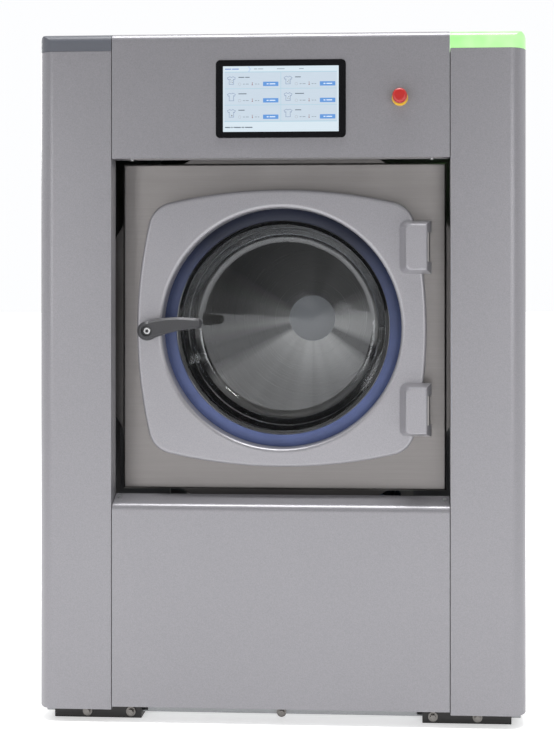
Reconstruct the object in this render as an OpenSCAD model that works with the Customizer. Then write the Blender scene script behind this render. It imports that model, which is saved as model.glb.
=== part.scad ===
// Commercial washer-extractor, built the way the real machine is built.
// X runs to the right, Y to the back and Z up. Depths are measured back from the front plane.

/* [Cabinet] */
// Width over both front columns
body_w = 1015; // [980:1:1060]
// Height over the column caps
body_h = 1430; // [1400:1:1470]
// Depth from the front plane to the rear panel
body_d = 1100; // [1090:1:1160]
// Thickness of the bent sheet
sheet_t = 2; // [1.5:0.1:2.5]
// Gap between the door's side and a column
door_room = 48.5; // [46:0.5:52]
// Depth of a column's side and of its cap
column_d = 150; // [130:1:170]
// Radius of a column's outer front edge
column_r = 35; // [20:1:40]
// Gap from the floor to a column
column_foot = 26; // [25:1:30]
// Height of a column cap
cap_h = 36; // [30:1:40]
// Radius of the caps' rounded top edges
cap_r = 18; // [8:1:22]
// Depth of the front skins' flanges, where the frame starts
flange_d = 41; // [38:1:44]
// Gap between a front panel and a column
panel_gap = 1.5; // [1:0.1:3]
// Width of the skins' folded side edges, beside the frame
side_fold = 9; // [6:0.5:9.4]
// Height of the folded edge round the top cover
cover_h = 18; // [14:1:24]

/* [Front panels] */
// Height of the control panel
control_h = 259.5; // [250:0.5:265]
// Radius of the control panel's top bend
control_r = 16; // [8:1:20]
// Gap from the floor to the lower panel
lower_foot = 32.5; // [30:0.5:40]
// Height of the lower panel's lip at its back edge
lip_z = 469; // [455:1:472]
// Radius of the bend under the lip
lip_r = 16; // [8:1:20]
// Slope of the lip, in degrees
lip_slope = 25; // [15:1:35]
// Radius of the small panel screws' heads
screw_r = 4; // [3:0.5:5]

/* [Controls] */
// Offset of the screen from the middle
screen_x = 2.4; // [-20:0.1:20]
// Drop of the screen's middle and the stop button below the caps' tops
control_drop = 138; // [130:1:142]
// Width of the screen's bezel
bezel_w = 269; // [240:1:290]
// Height of the screen's bezel
bezel_h = 161; // [150:1:165]
// Corner radius of the bezel
bezel_r = 9; // [5:1:14]
// How far the bezel stands out of the panel
bezel_proud = 2; // [1:0.5:4]
// Depth of the bezel behind the panel face
bezel_d = 20; // [15:1:22]
// Width of the display glass
display_w = 239; // [200:1:240]
// Height of the display glass
display_h = 135; // [120:1:140]
// Offset of the stop button from the middle
stop_x = 248; // [220:1:290]
// Radius of the stop button's head
stop_r = 15; // [12:0.5:20]
// Radius of the collar round the stop button
collar_r = 16.5; // [15.5:0.5:22]
// How far the stop button stands out
stop_reach = 42; // [38:1:50]
// Travel of the stop button
stop_travel = 5; // [3:0.5:6]
// Radius of the stop button's stem
stem_r = 5; // [4:0.5:6]

/* [Door] */
// Height of the door and drum axis
axis_z = 818; // [814:1:822]
// Width of the door
door_w = 606; // [600:1:620]
// Height of the door
door_h = 578; // [570:1:600]
// Depth of the door's front face behind the front plane
door_front = 22; // [18:1:26]
// Thickness of the door frame
door_t = 52; // [48:1:54]
// Radius of the door's bulged sides
side_bulge = 980; // [800:10:1400]
// Radius of the door's bulged top and bottom
top_bulge = 1055; // [800:10:1400]
// Corner radius of the door
corner_r = 57; // [40:1:70]
// Rounding of the door's front edge
edge_r = 7; // [3:0.5:9]
// Radius of the door's round opening
door_bore = 251; // [249:0.5:252]
// Rounding where the opening meets the front face
lip_round = 8; // [4:0.5:9]
// Radius where the gasket meets the glass
glass_r = 226; // [224:0.5:228]
// Radius at the bottom of the glass bowl
bowl_r = 208; // [200:1:212]
// Depth of the glass bowl behind the gasket
bowl_d = 104; // [80:1:108]
// Thickness of the glass
glass_t = 8; // [6:0.5:10]

/* [Hinge and latch] */
// Distance of the hinge axis in from the door's side
hinge_inset = 3; // [0:0.5:4]
// Depth of the hinge axis behind the front plane
hinge_y = 8; // [6:0.5:9]
// Distance of each hinge from the door's middle
hinge_z = 168; // [150:1:190]
// Height of a hinge cover
cover_z = 110; // [100:1:120]
// Length of a hinge pin's hold at each end of its cover
pin_hold = 25; // [20:1:30]
// Corner radius of the hinge covers
cover_r = 15; // [10:1:18]
// Radius of the hinge pin
pin_r = 6; // [5:0.5:7]
// Radius of the hinge eye
eye_r = 10; // [9.5:0.5:10.5]
// Distance of the handle's pivot in from the door's side
handle_inset = 27; // [26:0.5:28]
// Drop of the handle's pivot below the door's middle
handle_drop = 5; // [0:1:20]
// Length of the handle from its pivot
handle_len = 104; // [80:1:120]
// Radius of the handle's boss
boss_r = 20; // [18:0.5:22]
// Radius of the latch spindle
spindle_r = 7; // [6:0.5:8]
// Length of the latch finger
finger_len = 21; // [18:0.5:22]

/* [Tub] */
// Depth of the tub's square front plate
plate_y = 80; // [78:1:84]
// Gap round the front plate at its sides
plate_gap_x = 6.5; // [5:0.5:10]
// Gap above and below the front plate
plate_gap_z = 4; // [3:0.5:12]
// Radius of the front plate's bent edges
plate_r = 5; // [4.5:0.5:16]
// Radius of the tub
tub_r = 411; // [405:1:414]
// Thickness of the tub's wall
tub_t = 3; // [2:0.5:4]
// Depth where the tub's front wall stands
tub_y = 95; // [94:1:100]
// Depth of the tub's back
tub_back_y = 862; // [850:1:870]
// Thickness of the tub's back
tub_back_t = 6; // [5:0.5:8]
// Radius of the tub's mouth
mouth_r = 238; // [237:0.5:242]

/* [Drum] */
// Inner radius of the drum
drum_r = 375; // [360:1:385]
// Thickness of the drum's wall
drum_t = 2; // [1.5:0.1:3]
// Depth of the drum's front wall
drum_y = 116; // [115:1:124]
// Depth of the drum's back
drum_back_y = 835; // [820:1:838]
// Radius of the drum's mouth
drum_mouth = 232; // [230:0.5:234]
// Height of a lifter
lifter_h = 70; // [50:1:85]
// Width of a lifter at its foot
lifter_w = 120; // [90:1:140]
// Radius of the hub cap
hub_r = 61; // [50:1:75]

/* [Drive] */
// Radius of the drum shaft
shaft_r = 35; // [30:0.5:40]
// Outer radius of the bearings
bearing_r = 62; // [58:0.5:66]
// Depth of the bearing housing behind the tub
housing_d = 132; // [120:1:136]
// Radius of the drum pulley
pulley_r = 225; // [200:1:240]
// Radius of the motor pulley
motor_pulley_r = 45; // [35:1:55]
// Width of the pulleys
pulley_w = 40; // [30:1:44]
// Thickness of the belt
belt_t = 5; // [4:0.5:6]
// Offset of the motor from the middle
motor_x = 140; // [130:1:150]
// Height of the motor's axis
motor_z = 285; // [280:1:290]
// Radius of the motor over its fins
motor_r = 105; // [90:1:108]
// Length of the motor
motor_len = 320; // [280:1:340]
// Depth where the motor's rear end stands
motor_back = 960; // [950:1:970]
// Radius of the motor's shaft
rotor_r = 14; // [12:0.5:18]

/* [Suspension] */
// Offset of the springs and dampers from the middle
spring_x = 330; // [325:1:335]
// Mean radius of a spring
spring_r = 45; // [38:1:48]
// Thickness of the spring wire
wire_d = 12; // [9:0.5:13]
// Turns of a spring
spring_turns = 5; // [4:1:6]
// Height of a spring's lower seat
spring_foot = 128; // [124:1:134]
// Height of the pads on the tub's legs
pad_z = 384; // [376:1:388]
// Length along the tub of a leg
leg_len = 220; // [200:1:230]
// Length of a damper's cylinder
damper_len = 175; // [165:1:185]
// Height of a damper's piston over the base rail
piston_z = 80; // [70:1:90]
// Radius of a damper's cylinder
damper_r = 22; // [18:1:25]
// Radius of a damper's rod
rod_r = 9; // [7:0.5:10]

/* [Frame] */
// Width of a foot plate
foot_w = 184; // [170:1:190]
// Thickness of a foot plate
foot_t = 10; // [8:1:12]
// Height of a foot plate's upright edge
foot_h = 24; // [20:1:24.5]
// Width of a base rail
rail_w = 100; // [90:1:104]
// Height of a base rail
rail_h = 100; // [90:1:108]
// Side of the square frame tubes
tube_w = 40; // [36:1:44]
// Wall of the frame tubes
tube_t = 3; // [2:0.5:4]
// Radius of the floor bolt holes
anchor_r = 9; // [7:0.5:10]
// Radius of the base bolts' washers
washer_r = 10; // [8:0.5:11]

/* [Water and drain] */
// How far the drain pipe stands out of the rear panel
pipe_reach = 60; // [55:1:80]
// Outer radius of the drain pipe
drain_r = 38; // [32:1:40]
// Height of the drain pipe's axis
drain_z = 170; // [165:1:176]
// Offset of the drain from the middle
drain_x = -60; // [-70:1:-55]
// Radius of the water inlets
inlet_r = 13.2; // [10:0.1:16]
// Offset of the soap dispenser from the middle
soap_x = -280; // [-290:1:-270]
// Width of the soap dispenser
soap_w = 240; // [220:1:260]
// Depth of the soap dispenser from front to back
soap_d = 220; // [200:1:240]
// Height of the soap dispenser's body
soap_h = 142; // [120:1:150]
// Radius of the soap dispenser's outlet
soap_r = 30; // [24:1:34]
// Thickness of the soap dispenser's walls
soap_t = 5; // [4:0.5:6]
// Thickness of the walls between the soap cells
cell_t = 4; // [3:0.5:5]
// Height of the cells' floor over the dispenser's underside
cell_foot = 26; // [20:1:32]
// Height of the soap hose's foot above the door's axis
hose_foot = 332; // [325:1:340]
// Width of the slot in front of the cells' floor
cell_slot = 14; // [10:1:18]

/* [Fits] */
// Radial clearance of a running fit
run_fit = 0.05; // [0.02:0.01:0.09]
// Clearance between pieces that seat on a curve
seat = 0.3; // [0.25:0.05:0.5]

/* [Hidden] */
$fn = 96;

eps = 0.01;
half_w = body_w / 2;
front_y = stop_reach - (stop_reach + body_d + pipe_reach) / 2;
column_top = body_h - cap_h;
column_in = door_w / 2 + door_room;
column_w = half_w - column_in;
panel_half = column_in - panel_gap;
control_z0 = body_h - control_h;
control_z = body_h - control_drop;
hinge_x = door_w / 2 - hinge_inset;
handle_x = door_w / 2 - handle_inset;
frame_back = body_d - 17;
tube_x = half_w - 29.5;
rail_top = column_top - sheet_t;
base_z = foot_t;
base_top = base_z + rail_h;
cross_h = rail_h * 0.6;
tub_legs_y = [300, 760];
damper_y = [420, 640];
leg_half = 55;
door_back = door_front + door_t;
gasket_y = door_back - 16;
pulley_y = tub_back_y + tub_back_t + housing_d + 10;
plate_half = column_in - plate_gap_x;
plate_d = tub_y - plate_y;
plate_z0 = lip_z + plate_gap_z;
plate_z1 = control_z0 - plate_gap_z;
soap_top = column_top + cover_h;
soap_bottom = soap_top - soap_h;
soap_y = 350;
drain_y = 560;
hose_top = soap_bottom - 20;
hose_bottom = axis_z + hose_foot;
bellows_top = 372;
bellows_bottom = drain_z + 80;
arrow = [for (s = [-1, 1]) s];

// Placing: depth from the front plane, and the drum axis with local z running back
module front() translate([0, front_y, 0]) children();
module about_axis() translate([0, front_y, axis_z]) rotate([-90, 0, 0]) children();
module along_y(x, z, y0, y1) translate([x, front_y + y0, z]) rotate([-90, 0, 0])
    linear_extrude(y1 - y0) children();
module rod_y(x, z, y0, y1, r) translate([x, front_y + y0, z]) rotate([-90, 0, 0])
    cylinder(r = r, h = y1 - y0);
module both_sides() { children(); mirror([1, 0, 0]) children(); }
// A profile in depth and height, extruded from x0 to x1
module side_profile(x0, x1) translate([x0, front_y, 0]) rotate([90, 0, 90])
    linear_extrude(x1 - x0) children();
module box(x0, x1, y0, y1, z0, z1) translate([x0, front_y + y0, z0])
    cube([x1 - x0, y1 - y0, z1 - z0]);
module ring(r_in, r_out, z0, z1) translate([0, 0, z0]) difference() {
    cylinder(r = r_out, h = z1 - z0);
    translate([0, 0, -1]) cylinder(r = r_in, h = z1 - z0 + 2);
}
// Square tube with its walls, open along the given axis
module tube(size, axis) difference() {
    cube(size);
    translate([for (i = [0:2]) i == axis ? -1 : tube_t])
        cube([for (i = [0:2]) i == axis ? size[i] + 2 : size[i] - 2 * tube_t]);
}

// Base: foot plates with floor bolt holes, rails, cross members and spring seats
module foot_plates() color("dimgray") both_sides() for (back = [0, 1]) {
    x1 = tube_x;
    x0 = x1 - foot_w;
    edge = back ? frame_back : flange_d - 12;
    reach = 112;
    difference() {
        union() {
            box(x0, x1, back ? frame_back - reach : flange_d, back ? frame_back : flange_d + reach, 0, foot_t);
            box(x0, x1, edge, edge + 12, 0, foot_h);
        }
        front() translate([anchor_x(), back ? frame_back - 75 : flange_d + 75, -1])
            cylinder(r = anchor_r, h = foot_t + 2, $fn = 32);
    }
}
function anchor_x() = spring_x + rail_w / 2 + 25;

module base_frame() color("gray") {
    both_sides() difference() {
        union() {
            front() translate([spring_x - rail_w / 2, flange_d, base_z])
                tube([rail_w, frame_back - flange_d, rail_h], 1);
            for (y = tub_legs_y) front() translate([spring_x, y, base_top - eps])
                cylinder(r = (spring_r - wire_d / 2) * cos(22.5) - 1.5, h = spring_foot - base_top + 14);
            for (y = tub_legs_y) front() translate([spring_x, y, base_top - eps])
                cylinder(r = spring_r + wire_d / 2 - 2, h = spring_foot - base_top);
        }
    }
    inner = spring_x - rail_w / 2;
    for (y = [flange_d, drain_y - 30, frame_back - 60]) front()
        translate([-inner, y, base_z]) tube([2 * inner, 60, cross_h], 0);
}

module base_bolts() color("silver") for (x = [-spring_x - 78, 14 - spring_x, 0, spring_x - 14, spring_x + 78]) {
    y = x == 0 ? flange_d : flange_d - 12;
    z = base_z + 4;
    rod_y(x, z, y - 3, y, washer_r);
    front() translate([x, y - 9, z]) rotate([-90, 0, 0]) cylinder(r = 6, h = 6 + eps, $fn = 6);
}

module cabinet_frame() color("gray") {
    x0 = tube_x - tube_w / 2;
    both_sides() for (y = [flange_d, frame_back - tube_w]) front()
        translate([x0, y, base_z]) tube([tube_w, tube_w, rail_top - base_z], 2);
    both_sides() front() translate([x0, flange_d + tube_w, rail_top - tube_w])
        tube([tube_w, frame_back - flange_d - 2 * tube_w, tube_w], 1);
    for (y = [flange_d, frame_back - tube_w]) front()
        translate([-x0, y, rail_top - tube_w]) tube([2 * x0, tube_w, tube_w], 0);
}

// Front columns: bent sheet with a rounded outer edge
module column_plan(i, back) {
    r = column_r - i;
    x0 = column_in + i;
    x1 = half_w - i;
    translate([x0, i]) square([x1 - r - x0, back - i]);
    translate([x0, i + r]) square([x1 - x0, back - i - r]);
    translate([x1 - r, i + r]) circle(r);
}
module column() front() translate([0, 0, column_foot]) linear_extrude(column_top - column_foot)
    difference() {
        column_plan(0, column_d);
        difference() {
            column_plan(sheet_t, column_d + 1);
            translate([half_w - side_fold, column_d - sheet_t]) square([20, sheet_t]);
        }
        translate([column_in - 1, flange_d]) square([column_w + 1 - side_fold, column_d]);
    }
module column_left() color("gainsboro") mirror([1, 0, 0]) column();
module column_right() color("gainsboro") column();

// Caps: plan, front and side outlines crossed, so that the top edges are round
module cap() intersection() {
    front() translate([0, 0, column_top]) linear_extrude(cap_h) column_plan(0, column_d);
    translate([column_in, front_y + column_d, column_top]) rotate([90, 0, 0]) linear_extrude(column_d)
        round_corner(column_w, cap_h, cap_r + 2);
    side_profile(column_in, half_w) translate([column_d, column_top]) mirror([1, 0])
        round_corner(column_d, cap_h, cap_r);
}
module round_corner(w, h, r) {
    square([w - r, h]);
    square([w, h - r]);
    translate([w - r, h - r]) circle(r);
}
module column_cap() color([0.42, 0.43, 0.47]) mirror([1, 0, 0]) cap();
module signal_light_cap() color([0.6, 0.98, 0.55]) cap();

// Control panel: sheet bent over the top, with closed ends and two cut-outs
module control_shape(i, back) {
    r = control_r - i;
    z1 = body_h - i;
    translate([i, control_z0 + i]) square([back - i, z1 - r - control_z0 - i]);
    translate([i + r, control_z0 + i]) square([back - i - r, z1 - control_z0 - i]);
    translate([i + r, z1 - r]) circle(r);
}
module control_panel() color("gainsboro") difference() {
    union() {
        side_profile(-panel_half, panel_half) difference() {
            control_shape(0, column_d);
            control_shape(sheet_t, column_d + 1);
            translate([flange_d, control_z0 - 1]) square([column_d, control_h / 2]);
        }
        both_sides() side_profile(panel_half - sheet_t, panel_half) intersection() {
            control_shape(0, column_d);
            translate([0, control_z0]) square([flange_d, control_h]);
        }
    }
    along_y(screen_x, control_z, -1, sheet_t + 1) bezel_outline(-3);
    rod_y(stop_x, control_z, -1, sheet_t + 1, stem_r + 6 + seat);
}

// Lower panel: flat face, a round bend and a slanted lip
function lip_c() = lip_z - (flange_d - lip_r * (1 - sin(lip_slope))) * tan(lip_slope) - lip_r * cos(lip_slope);
module lower_shape(i, back) {
    r = lip_r - i;
    t = [lip_r - r * sin(lip_slope), lip_c() + r * cos(lip_slope)];
    translate([lip_r, lip_c()]) circle(r);
    polygon([
        [i, lower_foot + i], [i, lip_c()], [lip_r, lip_c()], t,
        [back, t[1] + (back - t[0]) * tan(lip_slope)], [back, lower_foot + i]
    ]);
}
module lower_panel() color("gainsboro") {
    side_profile(-panel_half, panel_half) difference() {
        lower_shape(0, flange_d);
        lower_shape(sheet_t, flange_d + 1);
    }
    both_sides() side_profile(panel_half - sheet_t, panel_half) lower_shape(0, flange_d - 1);
}

// Side, rear and top skins
module side_panel() {
    box(half_w - sheet_t, half_w, column_d, body_d - sheet_t, lower_foot, column_top);
    box(tube_x, half_w - eps, column_d, body_d - sheet_t, rail_top, column_top);
    for (y = [column_d, body_d - 2 * sheet_t])
        box(half_w - side_fold, half_w - eps, y, y + sheet_t, lower_foot, column_top - eps);
    box(half_w - side_fold, half_w - eps, column_d, body_d - sheet_t, lower_foot, lower_foot + sheet_t);
}
module side_panel_left() color("lightgray") mirror([1, 0, 0]) side_panel();
module side_panel_right() color("lightgray") side_panel();

vent_pitch = 16;
module rear_panel() color("lightgray") difference() {
    union() {
        box(-half_w + 1, half_w - 1, body_d - sheet_t, body_d, lower_foot, column_top);
        along_y(0, axis_z - 120, body_d, body_d + 2) square([620, 760], center = true);
    }
    for (i = [0:11], s = arrow) along_y(s * 130, axis_z + 200 - i * vent_pitch, body_d - 5, body_d + 5) {
        square([136, 6], center = true);
        for (e = arrow) translate([e * 68, 0]) circle(3, $fn = 24);
    }
    rod_y(drain_x, drain_z, body_d - 9, body_d + 9, drain_r + 2);
    for (x = inlet_xs()) rod_y(x, inlet_z(), body_d - 9, body_d + 9, inlet_r + 1);
    rod_y(gland_x, switch_z, body_d - 9, body_d + 9, 12.5);
}
function inlet_xs() = [soap_x - 90, soap_x - 20];
function inlet_z() = soap_bottom + 60;
gland_x = 270;
switch_x = 380;
switch_z = 1290;

module top_cover() color("lightgray") difference() {
    box(-half_w, half_w, column_d, body_d, column_top, column_top + cover_h);
    box(-half_w + sheet_t, half_w - sheet_t, column_d + sheet_t, body_d - sheet_t,
        column_top - 1, column_top + cover_h - sheet_t);
    box(soap_x - soap_w / 2 - 0.5, soap_x + soap_w / 2 + 0.5, soap_y - soap_d / 2 - 0.5,
        soap_y + soap_d / 2 + 0.5, column_top - 1, body_h);
}

module panel_screws() color("silver") both_sides() {
    front() translate([panel_half - 36, flange_d - 12, control_z0 - 2.5]) cylinder(r = screw_r, h = 2.5, $fn = 24);
    x = panel_half - 10;
    y = flange_d - 13;
    z = lip_c() + lip_r * cos(lip_slope) + (y - lip_r * (1 - sin(lip_slope))) * tan(lip_slope);
    front() translate([x, y, z]) rotate([lip_slope, 0, 0]) cylinder(r = screw_r, h = 2.5, $fn = 24);
}

// Touch screen
module bezel_outline(i) {
    w = bezel_w + 2 * i;
    h = bezel_h + 2 * i;
    r = bezel_r + i;
    square([w - 2 * r, h], center = true);
    square([w, h - 2 * r], center = true);
    for (x = arrow, z = arrow) translate([x * (w / 2 - r), z * (h / 2 - r)]) circle(r, $fn = 48);
}
module screen_bezel() color([0.06, 0.06, 0.07]) difference() {
    union() {
        along_y(screen_x, control_z, -bezel_proud, 0) bezel_outline(0);
        along_y(screen_x, control_z, -eps, bezel_d) bezel_outline(-3 - seat);
    }
    along_y(screen_x, control_z, -bezel_proud - 1, 3)
        square([display_w + 2 * seat, display_h + 2 * seat], center = true);
}
module screen_display() color([0.82, 0.9, 0.96])
    along_y(screen_x, control_z, seat - bezel_proud, 3) square([display_w, display_h], center = true);

// Stop button: yellow collar with its bushing, stem and red mushroom head
module stop_button_collar() color("gold") {
    along = [stop_x, control_z];
    difference() {
        union() {
            translate([along[0], front_y, along[1]]) rotate([-90, 0, 0]) rotate_extrude()
                polygon([[0, -8], [collar_r - 2, -8], [collar_r, -6], [collar_r, 0], [0, 0]]);
            rod_y(stop_x, control_z, -eps, 30, stem_r + 6);
            box(stop_x - 18, stop_x + 18, 30 - eps, 68, control_z - 18, control_z + 18);
        }
        rod_y(stop_x, control_z, -9, 36 + stop_travel, stem_r + run_fit);
    }
}
module stop_button_stem() color("dimgray") rod_y(stop_x, control_z, 10 - stop_reach, 34, stem_r);
module stop_button_head() color("firebrick") difference() {
    translate([stop_x, front_y - stop_reach, control_z]) rotate([-90, 0, 0]) rotate_extrude() {
        polygon([
            [0, 0], [stop_r - 6, 0], [stop_r - 6, 6], [stop_r, 6], [stop_r, 15], [stem_r + 4, 17],
            [stem_r + 4, 24], [0, 24]
        ]);
        translate([stop_r - 6, 6]) circle(6, $fn = 48);
    }
    rod_y(stop_x, control_z, 9 - stop_reach, 0, stem_r + run_fit);
}

module electrical_box() color("darkgray")
    box(-180, 190, 24, 136, control_z - 40, rail_top - tube_w);

// Soap dispenser in the top cover
module dispenser_hopper() color("whitesmoke") {
    x0 = soap_x - soap_w / 2;
    x1 = soap_x + soap_w / 2;
    y0 = soap_y - soap_d / 2;
    y1 = soap_y + soap_d / 2;
    difference() {
        union() {
            box(x0, x1, y0, y1, soap_bottom, soap_top + 4);
            box(x0 - 10, x1 + 10, y0 - 10, y1 + 10, soap_top, soap_top + 4);
            front() translate([soap_x, soap_y, hose_top]) cylinder(r = soap_r, h = soap_bottom - hose_top + 1);
            for (x = [x0 - 10, x1 + 5]) box(x, x + 5, y1 + 10 - eps, y1 + 26, soap_top, soap_top + 16);
        }
        box(x0 + soap_t, x1 - soap_t, y0 + soap_t, y1 - soap_t, soap_bottom + soap_t, soap_top + 9);
        front() translate([soap_x, soap_y, hose_top - 1]) cylinder(r = soap_r - 3, h = 40);
        for (x = inlet_xs()) rod_y(x, inlet_z(), y1 - 10, y1 + 1, 6);
        lid_pin(pin = 3 + seat);
    }
    lid_pin(pin = 3);
}
// Insert with four cells; the water leaves through the slot in front of its floor
module dispenser_cells() color("steelblue") {
    x0 = soap_x - soap_w / 2 + soap_t;
    x1 = soap_x + soap_w / 2 - soap_t;
    y0 = soap_y - soap_d / 2 + soap_t;
    y1 = soap_y + soap_d / 2 - soap_t;
    pitch = (x1 - x0 + cell_t) / 4;
    box(x0 + seat, x1 - seat, y0 + cell_slot, y1 - seat, soap_bottom + cell_foot, soap_bottom + cell_foot + cell_t);
    for (i = [1:3]) box(x0 + i * pitch - cell_t, x0 + i * pitch, y0 + seat, y1 - seat,
        soap_bottom + soap_t, soap_top);
}
lid_y = soap_y + soap_d / 2 + 18;
lid_z = soap_top + 10;
module lid_pin(pin) translate([soap_x - soap_w / 2 - 11, front_y + lid_y, lid_z]) rotate([0, 90, 0])
    cylinder(r = pin, h = soap_w + 22, $fn = 32);
module dispenser_lid() color("whitesmoke") {
    x0 = soap_x - soap_w / 2 - 4;
    x1 = soap_x + soap_w / 2 + 4;
    difference() {
        union() {
            box(x0, x1, soap_y - soap_d / 2 - 8, lid_y, soap_top + 4 + seat, soap_top + 12);
            translate([x0, front_y + lid_y, lid_z]) rotate([0, 90, 0]) cylinder(r = 6 - seat, h = x1 - x0, $fn = 48);
        }
        translate([x0 - 1, front_y + lid_y, lid_z]) rotate([0, 90, 0])
            cylinder(r = 3 + run_fit, h = x1 - x0 + 2, $fn = 32);
    }
}

// Ribbed rubber tubes: a bore with rounded ribs
module bellows(r_in, r_out, z0, z1, ribs) {
    pitch = (z1 - z0 - 24) / ribs;
    difference() {
        union() {
            translate([0, 0, z0]) cylinder(r = r_in + 4, h = z1 - z0);
            for (i = [0:ribs - 1]) translate([0, 0, z0 + 12 + (i + 0.5) * pitch]) rotate_extrude()
                translate([r_out - pitch * 0.3, 0]) circle(pitch * 0.3, $fn = 24);
            for (i = [0:ribs - 1]) translate([0, 0, z0 + 12 + (i + 0.35) * pitch])
                cylinder(r = r_out - pitch * 0.3, h = pitch * 0.3);
        }
        translate([0, 0, z0 - 1]) cylinder(r = r_in, h = z1 - z0 + 2);
    }
}
module dispenser_hose() color([0.12, 0.12, 0.12]) front() translate([soap_x, soap_y, 0])
    bellows(soap_r - 3, soap_r + 8, hose_bottom, hose_top, 6);
module drain_bellows() color([0.12, 0.12, 0.12]) front() translate([drain_x, drain_y, 0])
    bellows(drain_r - 3, drain_r + 10, bellows_bottom, bellows_top, 8);

module inlet_valves() color("steelblue") for (x = inlet_xs()) difference() {
    union() {
        rod_y(x, inlet_z(), body_d - 12, body_d + 30, inlet_r);
        rod_y(x, inlet_z(), body_d - 20, body_d - sheet_t, inlet_r + 6);
        box(x - 17, x + 17, body_d - 50, body_d - 19, inlet_z() - 17, inlet_z() + 17);
        rod_y(x, inlet_z(), soap_y + soap_d / 2, body_d - 49, 8);
    }
    rod_y(x, inlet_z(), soap_y + soap_d / 2 - 1, body_d + 31, 6);
}

// Drain: valve with a turning flap, moulded with the pipe to the back
module drain_valve_body() color("slategray") difference() {
    union() {
        front() translate([drain_x, drain_y, drain_z]) cylinder(r = drain_r + 2, h = bellows_bottom - drain_z);
        rod_y(drain_x, drain_z, drain_y - drain_r - 6, drain_y + 102, drain_r + 4);
        rod_y(drain_x, drain_z, drain_y + 101, body_d + pipe_reach, drain_r);
        box(drain_x - 30, drain_x + 30, drain_y - 25, drain_y + 25, base_z + cross_h, drain_z);
        box(drain_x - 26, drain_x + 26, drain_y + 44, drain_y + 86, drain_z, drain_z + drain_r + 44);
    }
    front() translate([drain_x, drain_y, drain_z]) cylinder(r = drain_r - 3, h = 200);
    rod_y(drain_x, drain_z, drain_y - drain_r + 3, body_d + pipe_reach + 1, drain_r - 3);
    front() translate([drain_x, drain_y + 65, drain_z - drain_r - 1])
        cylinder(r = 5 + run_fit, h = 2 * drain_r + 22, $fn = 48);
}
module drain_flap() color("orange") front() translate([drain_x, drain_y + 65, drain_z]) {
    rotate([-90, 0, 0]) translate([0, 0, -2]) cylinder(r = drain_r - 3.5, h = 4);
    translate([0, 0, -drain_r]) cylinder(r = 5, h = 2 * drain_r + 18, $fn = 48);
}

// Rear isolator switch and cable gland
module isolator_housing() color("darkgray") difference() {
    box(switch_x - 45, switch_x + 45, body_d, body_d + 34, switch_z - 45, switch_z + 45);
    rod_y(switch_x, switch_z, body_d + 6, body_d + 35, 6 + run_fit);
}
module isolator_knob() color([0.1, 0.1, 0.1]) {
    rod_y(switch_x, switch_z, body_d + 8, body_d + 40, 6);
    rod_y(switch_x, switch_z, body_d + 34 + seat, body_d + 42, 24);
    box(switch_x - 7, switch_x + 7, body_d + 41, body_d + 54, switch_z - 24, switch_z + 24);
}
module cable_gland() color([0.1, 0.1, 0.1]) difference() {
    union() {
        rod_y(gland_x, switch_z, body_d - 12, body_d + 24, 12);
        front() translate([gland_x, body_d, switch_z]) rotate([-90, 0, 0]) cylinder(r = 17, h = 10, $fn = 6);
        front() translate([gland_x, body_d - 10, switch_z]) rotate([-90, 0, 0]) cylinder(r = 17, h = 8, $fn = 6);
        rod_y(gland_x, switch_z, body_d + 9, body_d + 30, 15);
    }
    rod_y(gland_x, switch_z, body_d - 13, body_d + 31, 9);
}

// Suspension: a helix swept as one tube, closed at both ends
spring_top = pad_z;
function coil_z(t) =
    let (free = spring_turns - 1, u = min(max((t - 0.5) / free, 0), 1))
    spring_foot + wire_d / 2 + 0.3 + (spring_top - spring_foot - wire_d - 0.6) * u;
module coil() {
    steps = spring_turns * 8;
    sides = 6;
    ring_pts = [for (i = [0:steps], j = [0:sides - 1])
        let (a = i * 45, b = j * 360 / sides + 30, r = spring_r + wire_d / 2 * cos(b))
        [r * cos(a), r * sin(a), coil_z(i / 8) + wire_d / 2 * sin(b)]];
    polyhedron(
        points = ring_pts,
        faces = concat(
            [[for (j = [0:sides - 1]) j], [for (j = [sides - 1:-1:0]) steps * sides + j]],
            [for (i = [0:steps - 1], j = [0:sides - 1], h = [0, 1])
                let (k = (j + 1) % sides, p = i * sides, q = p + sides)
                h ? [p + j, q + k, p + k] : [p + j, q + j, q + k]]
        )
    );
}
pitch_gap = coil_z(1.5) - coil_z(0.5) - wire_d;
echo("least gap between turns", min(pitch_gap, coil_z(1) - coil_z(0) - wire_d));
module suspension_springs() color("dimgray") both_sides() for (y = tub_legs_y) front()
    translate([spring_x, y, 0]) coil();

module damper_cylinders() color([0.15, 0.15, 0.16]) both_sides() for (y = damper_y) front()
    translate([spring_x, y, base_top]) difference() {
        union() {
            cylinder(r = damper_r, h = damper_len);
            cylinder(r = damper_r + 10, h = 6);
        }
        translate([0, 0, 12]) cylinder(r = damper_r - 4, h = damper_len - 24);
        translate([0, 0, 100]) cylinder(r = rod_r + run_fit, h = 100);
    }
module damper_rods() color("silver") both_sides() for (y = damper_y) front()
    translate([spring_x, y, 0]) {
        translate([0, 0, base_top + piston_z]) cylinder(r = rod_r, h = pad_z - base_top - piston_z);
        translate([0, 0, base_top + piston_z]) cylinder(r = damper_r - 5, h = 10);
    }
module suspension_legs() color("gray") both_sides() for (y0 = [tub_legs_y[0] - 60, damper_y[1] - 40]) {
    y1 = y0 + leg_len;
    x0 = spring_x - leg_half;
    x1 = spring_x + leg_half + 3;
    box(x0, x1, y0, y1, pad_z, pad_z + 8);
    for (y = [y0, y1 - 8]) difference() {
        box(x0, x1, y, y + 8, pad_z + 8, axis_z - 170);
        rod_y(0, axis_z, y - 1, y + 9, tub_r + seat);
    }
}

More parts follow.
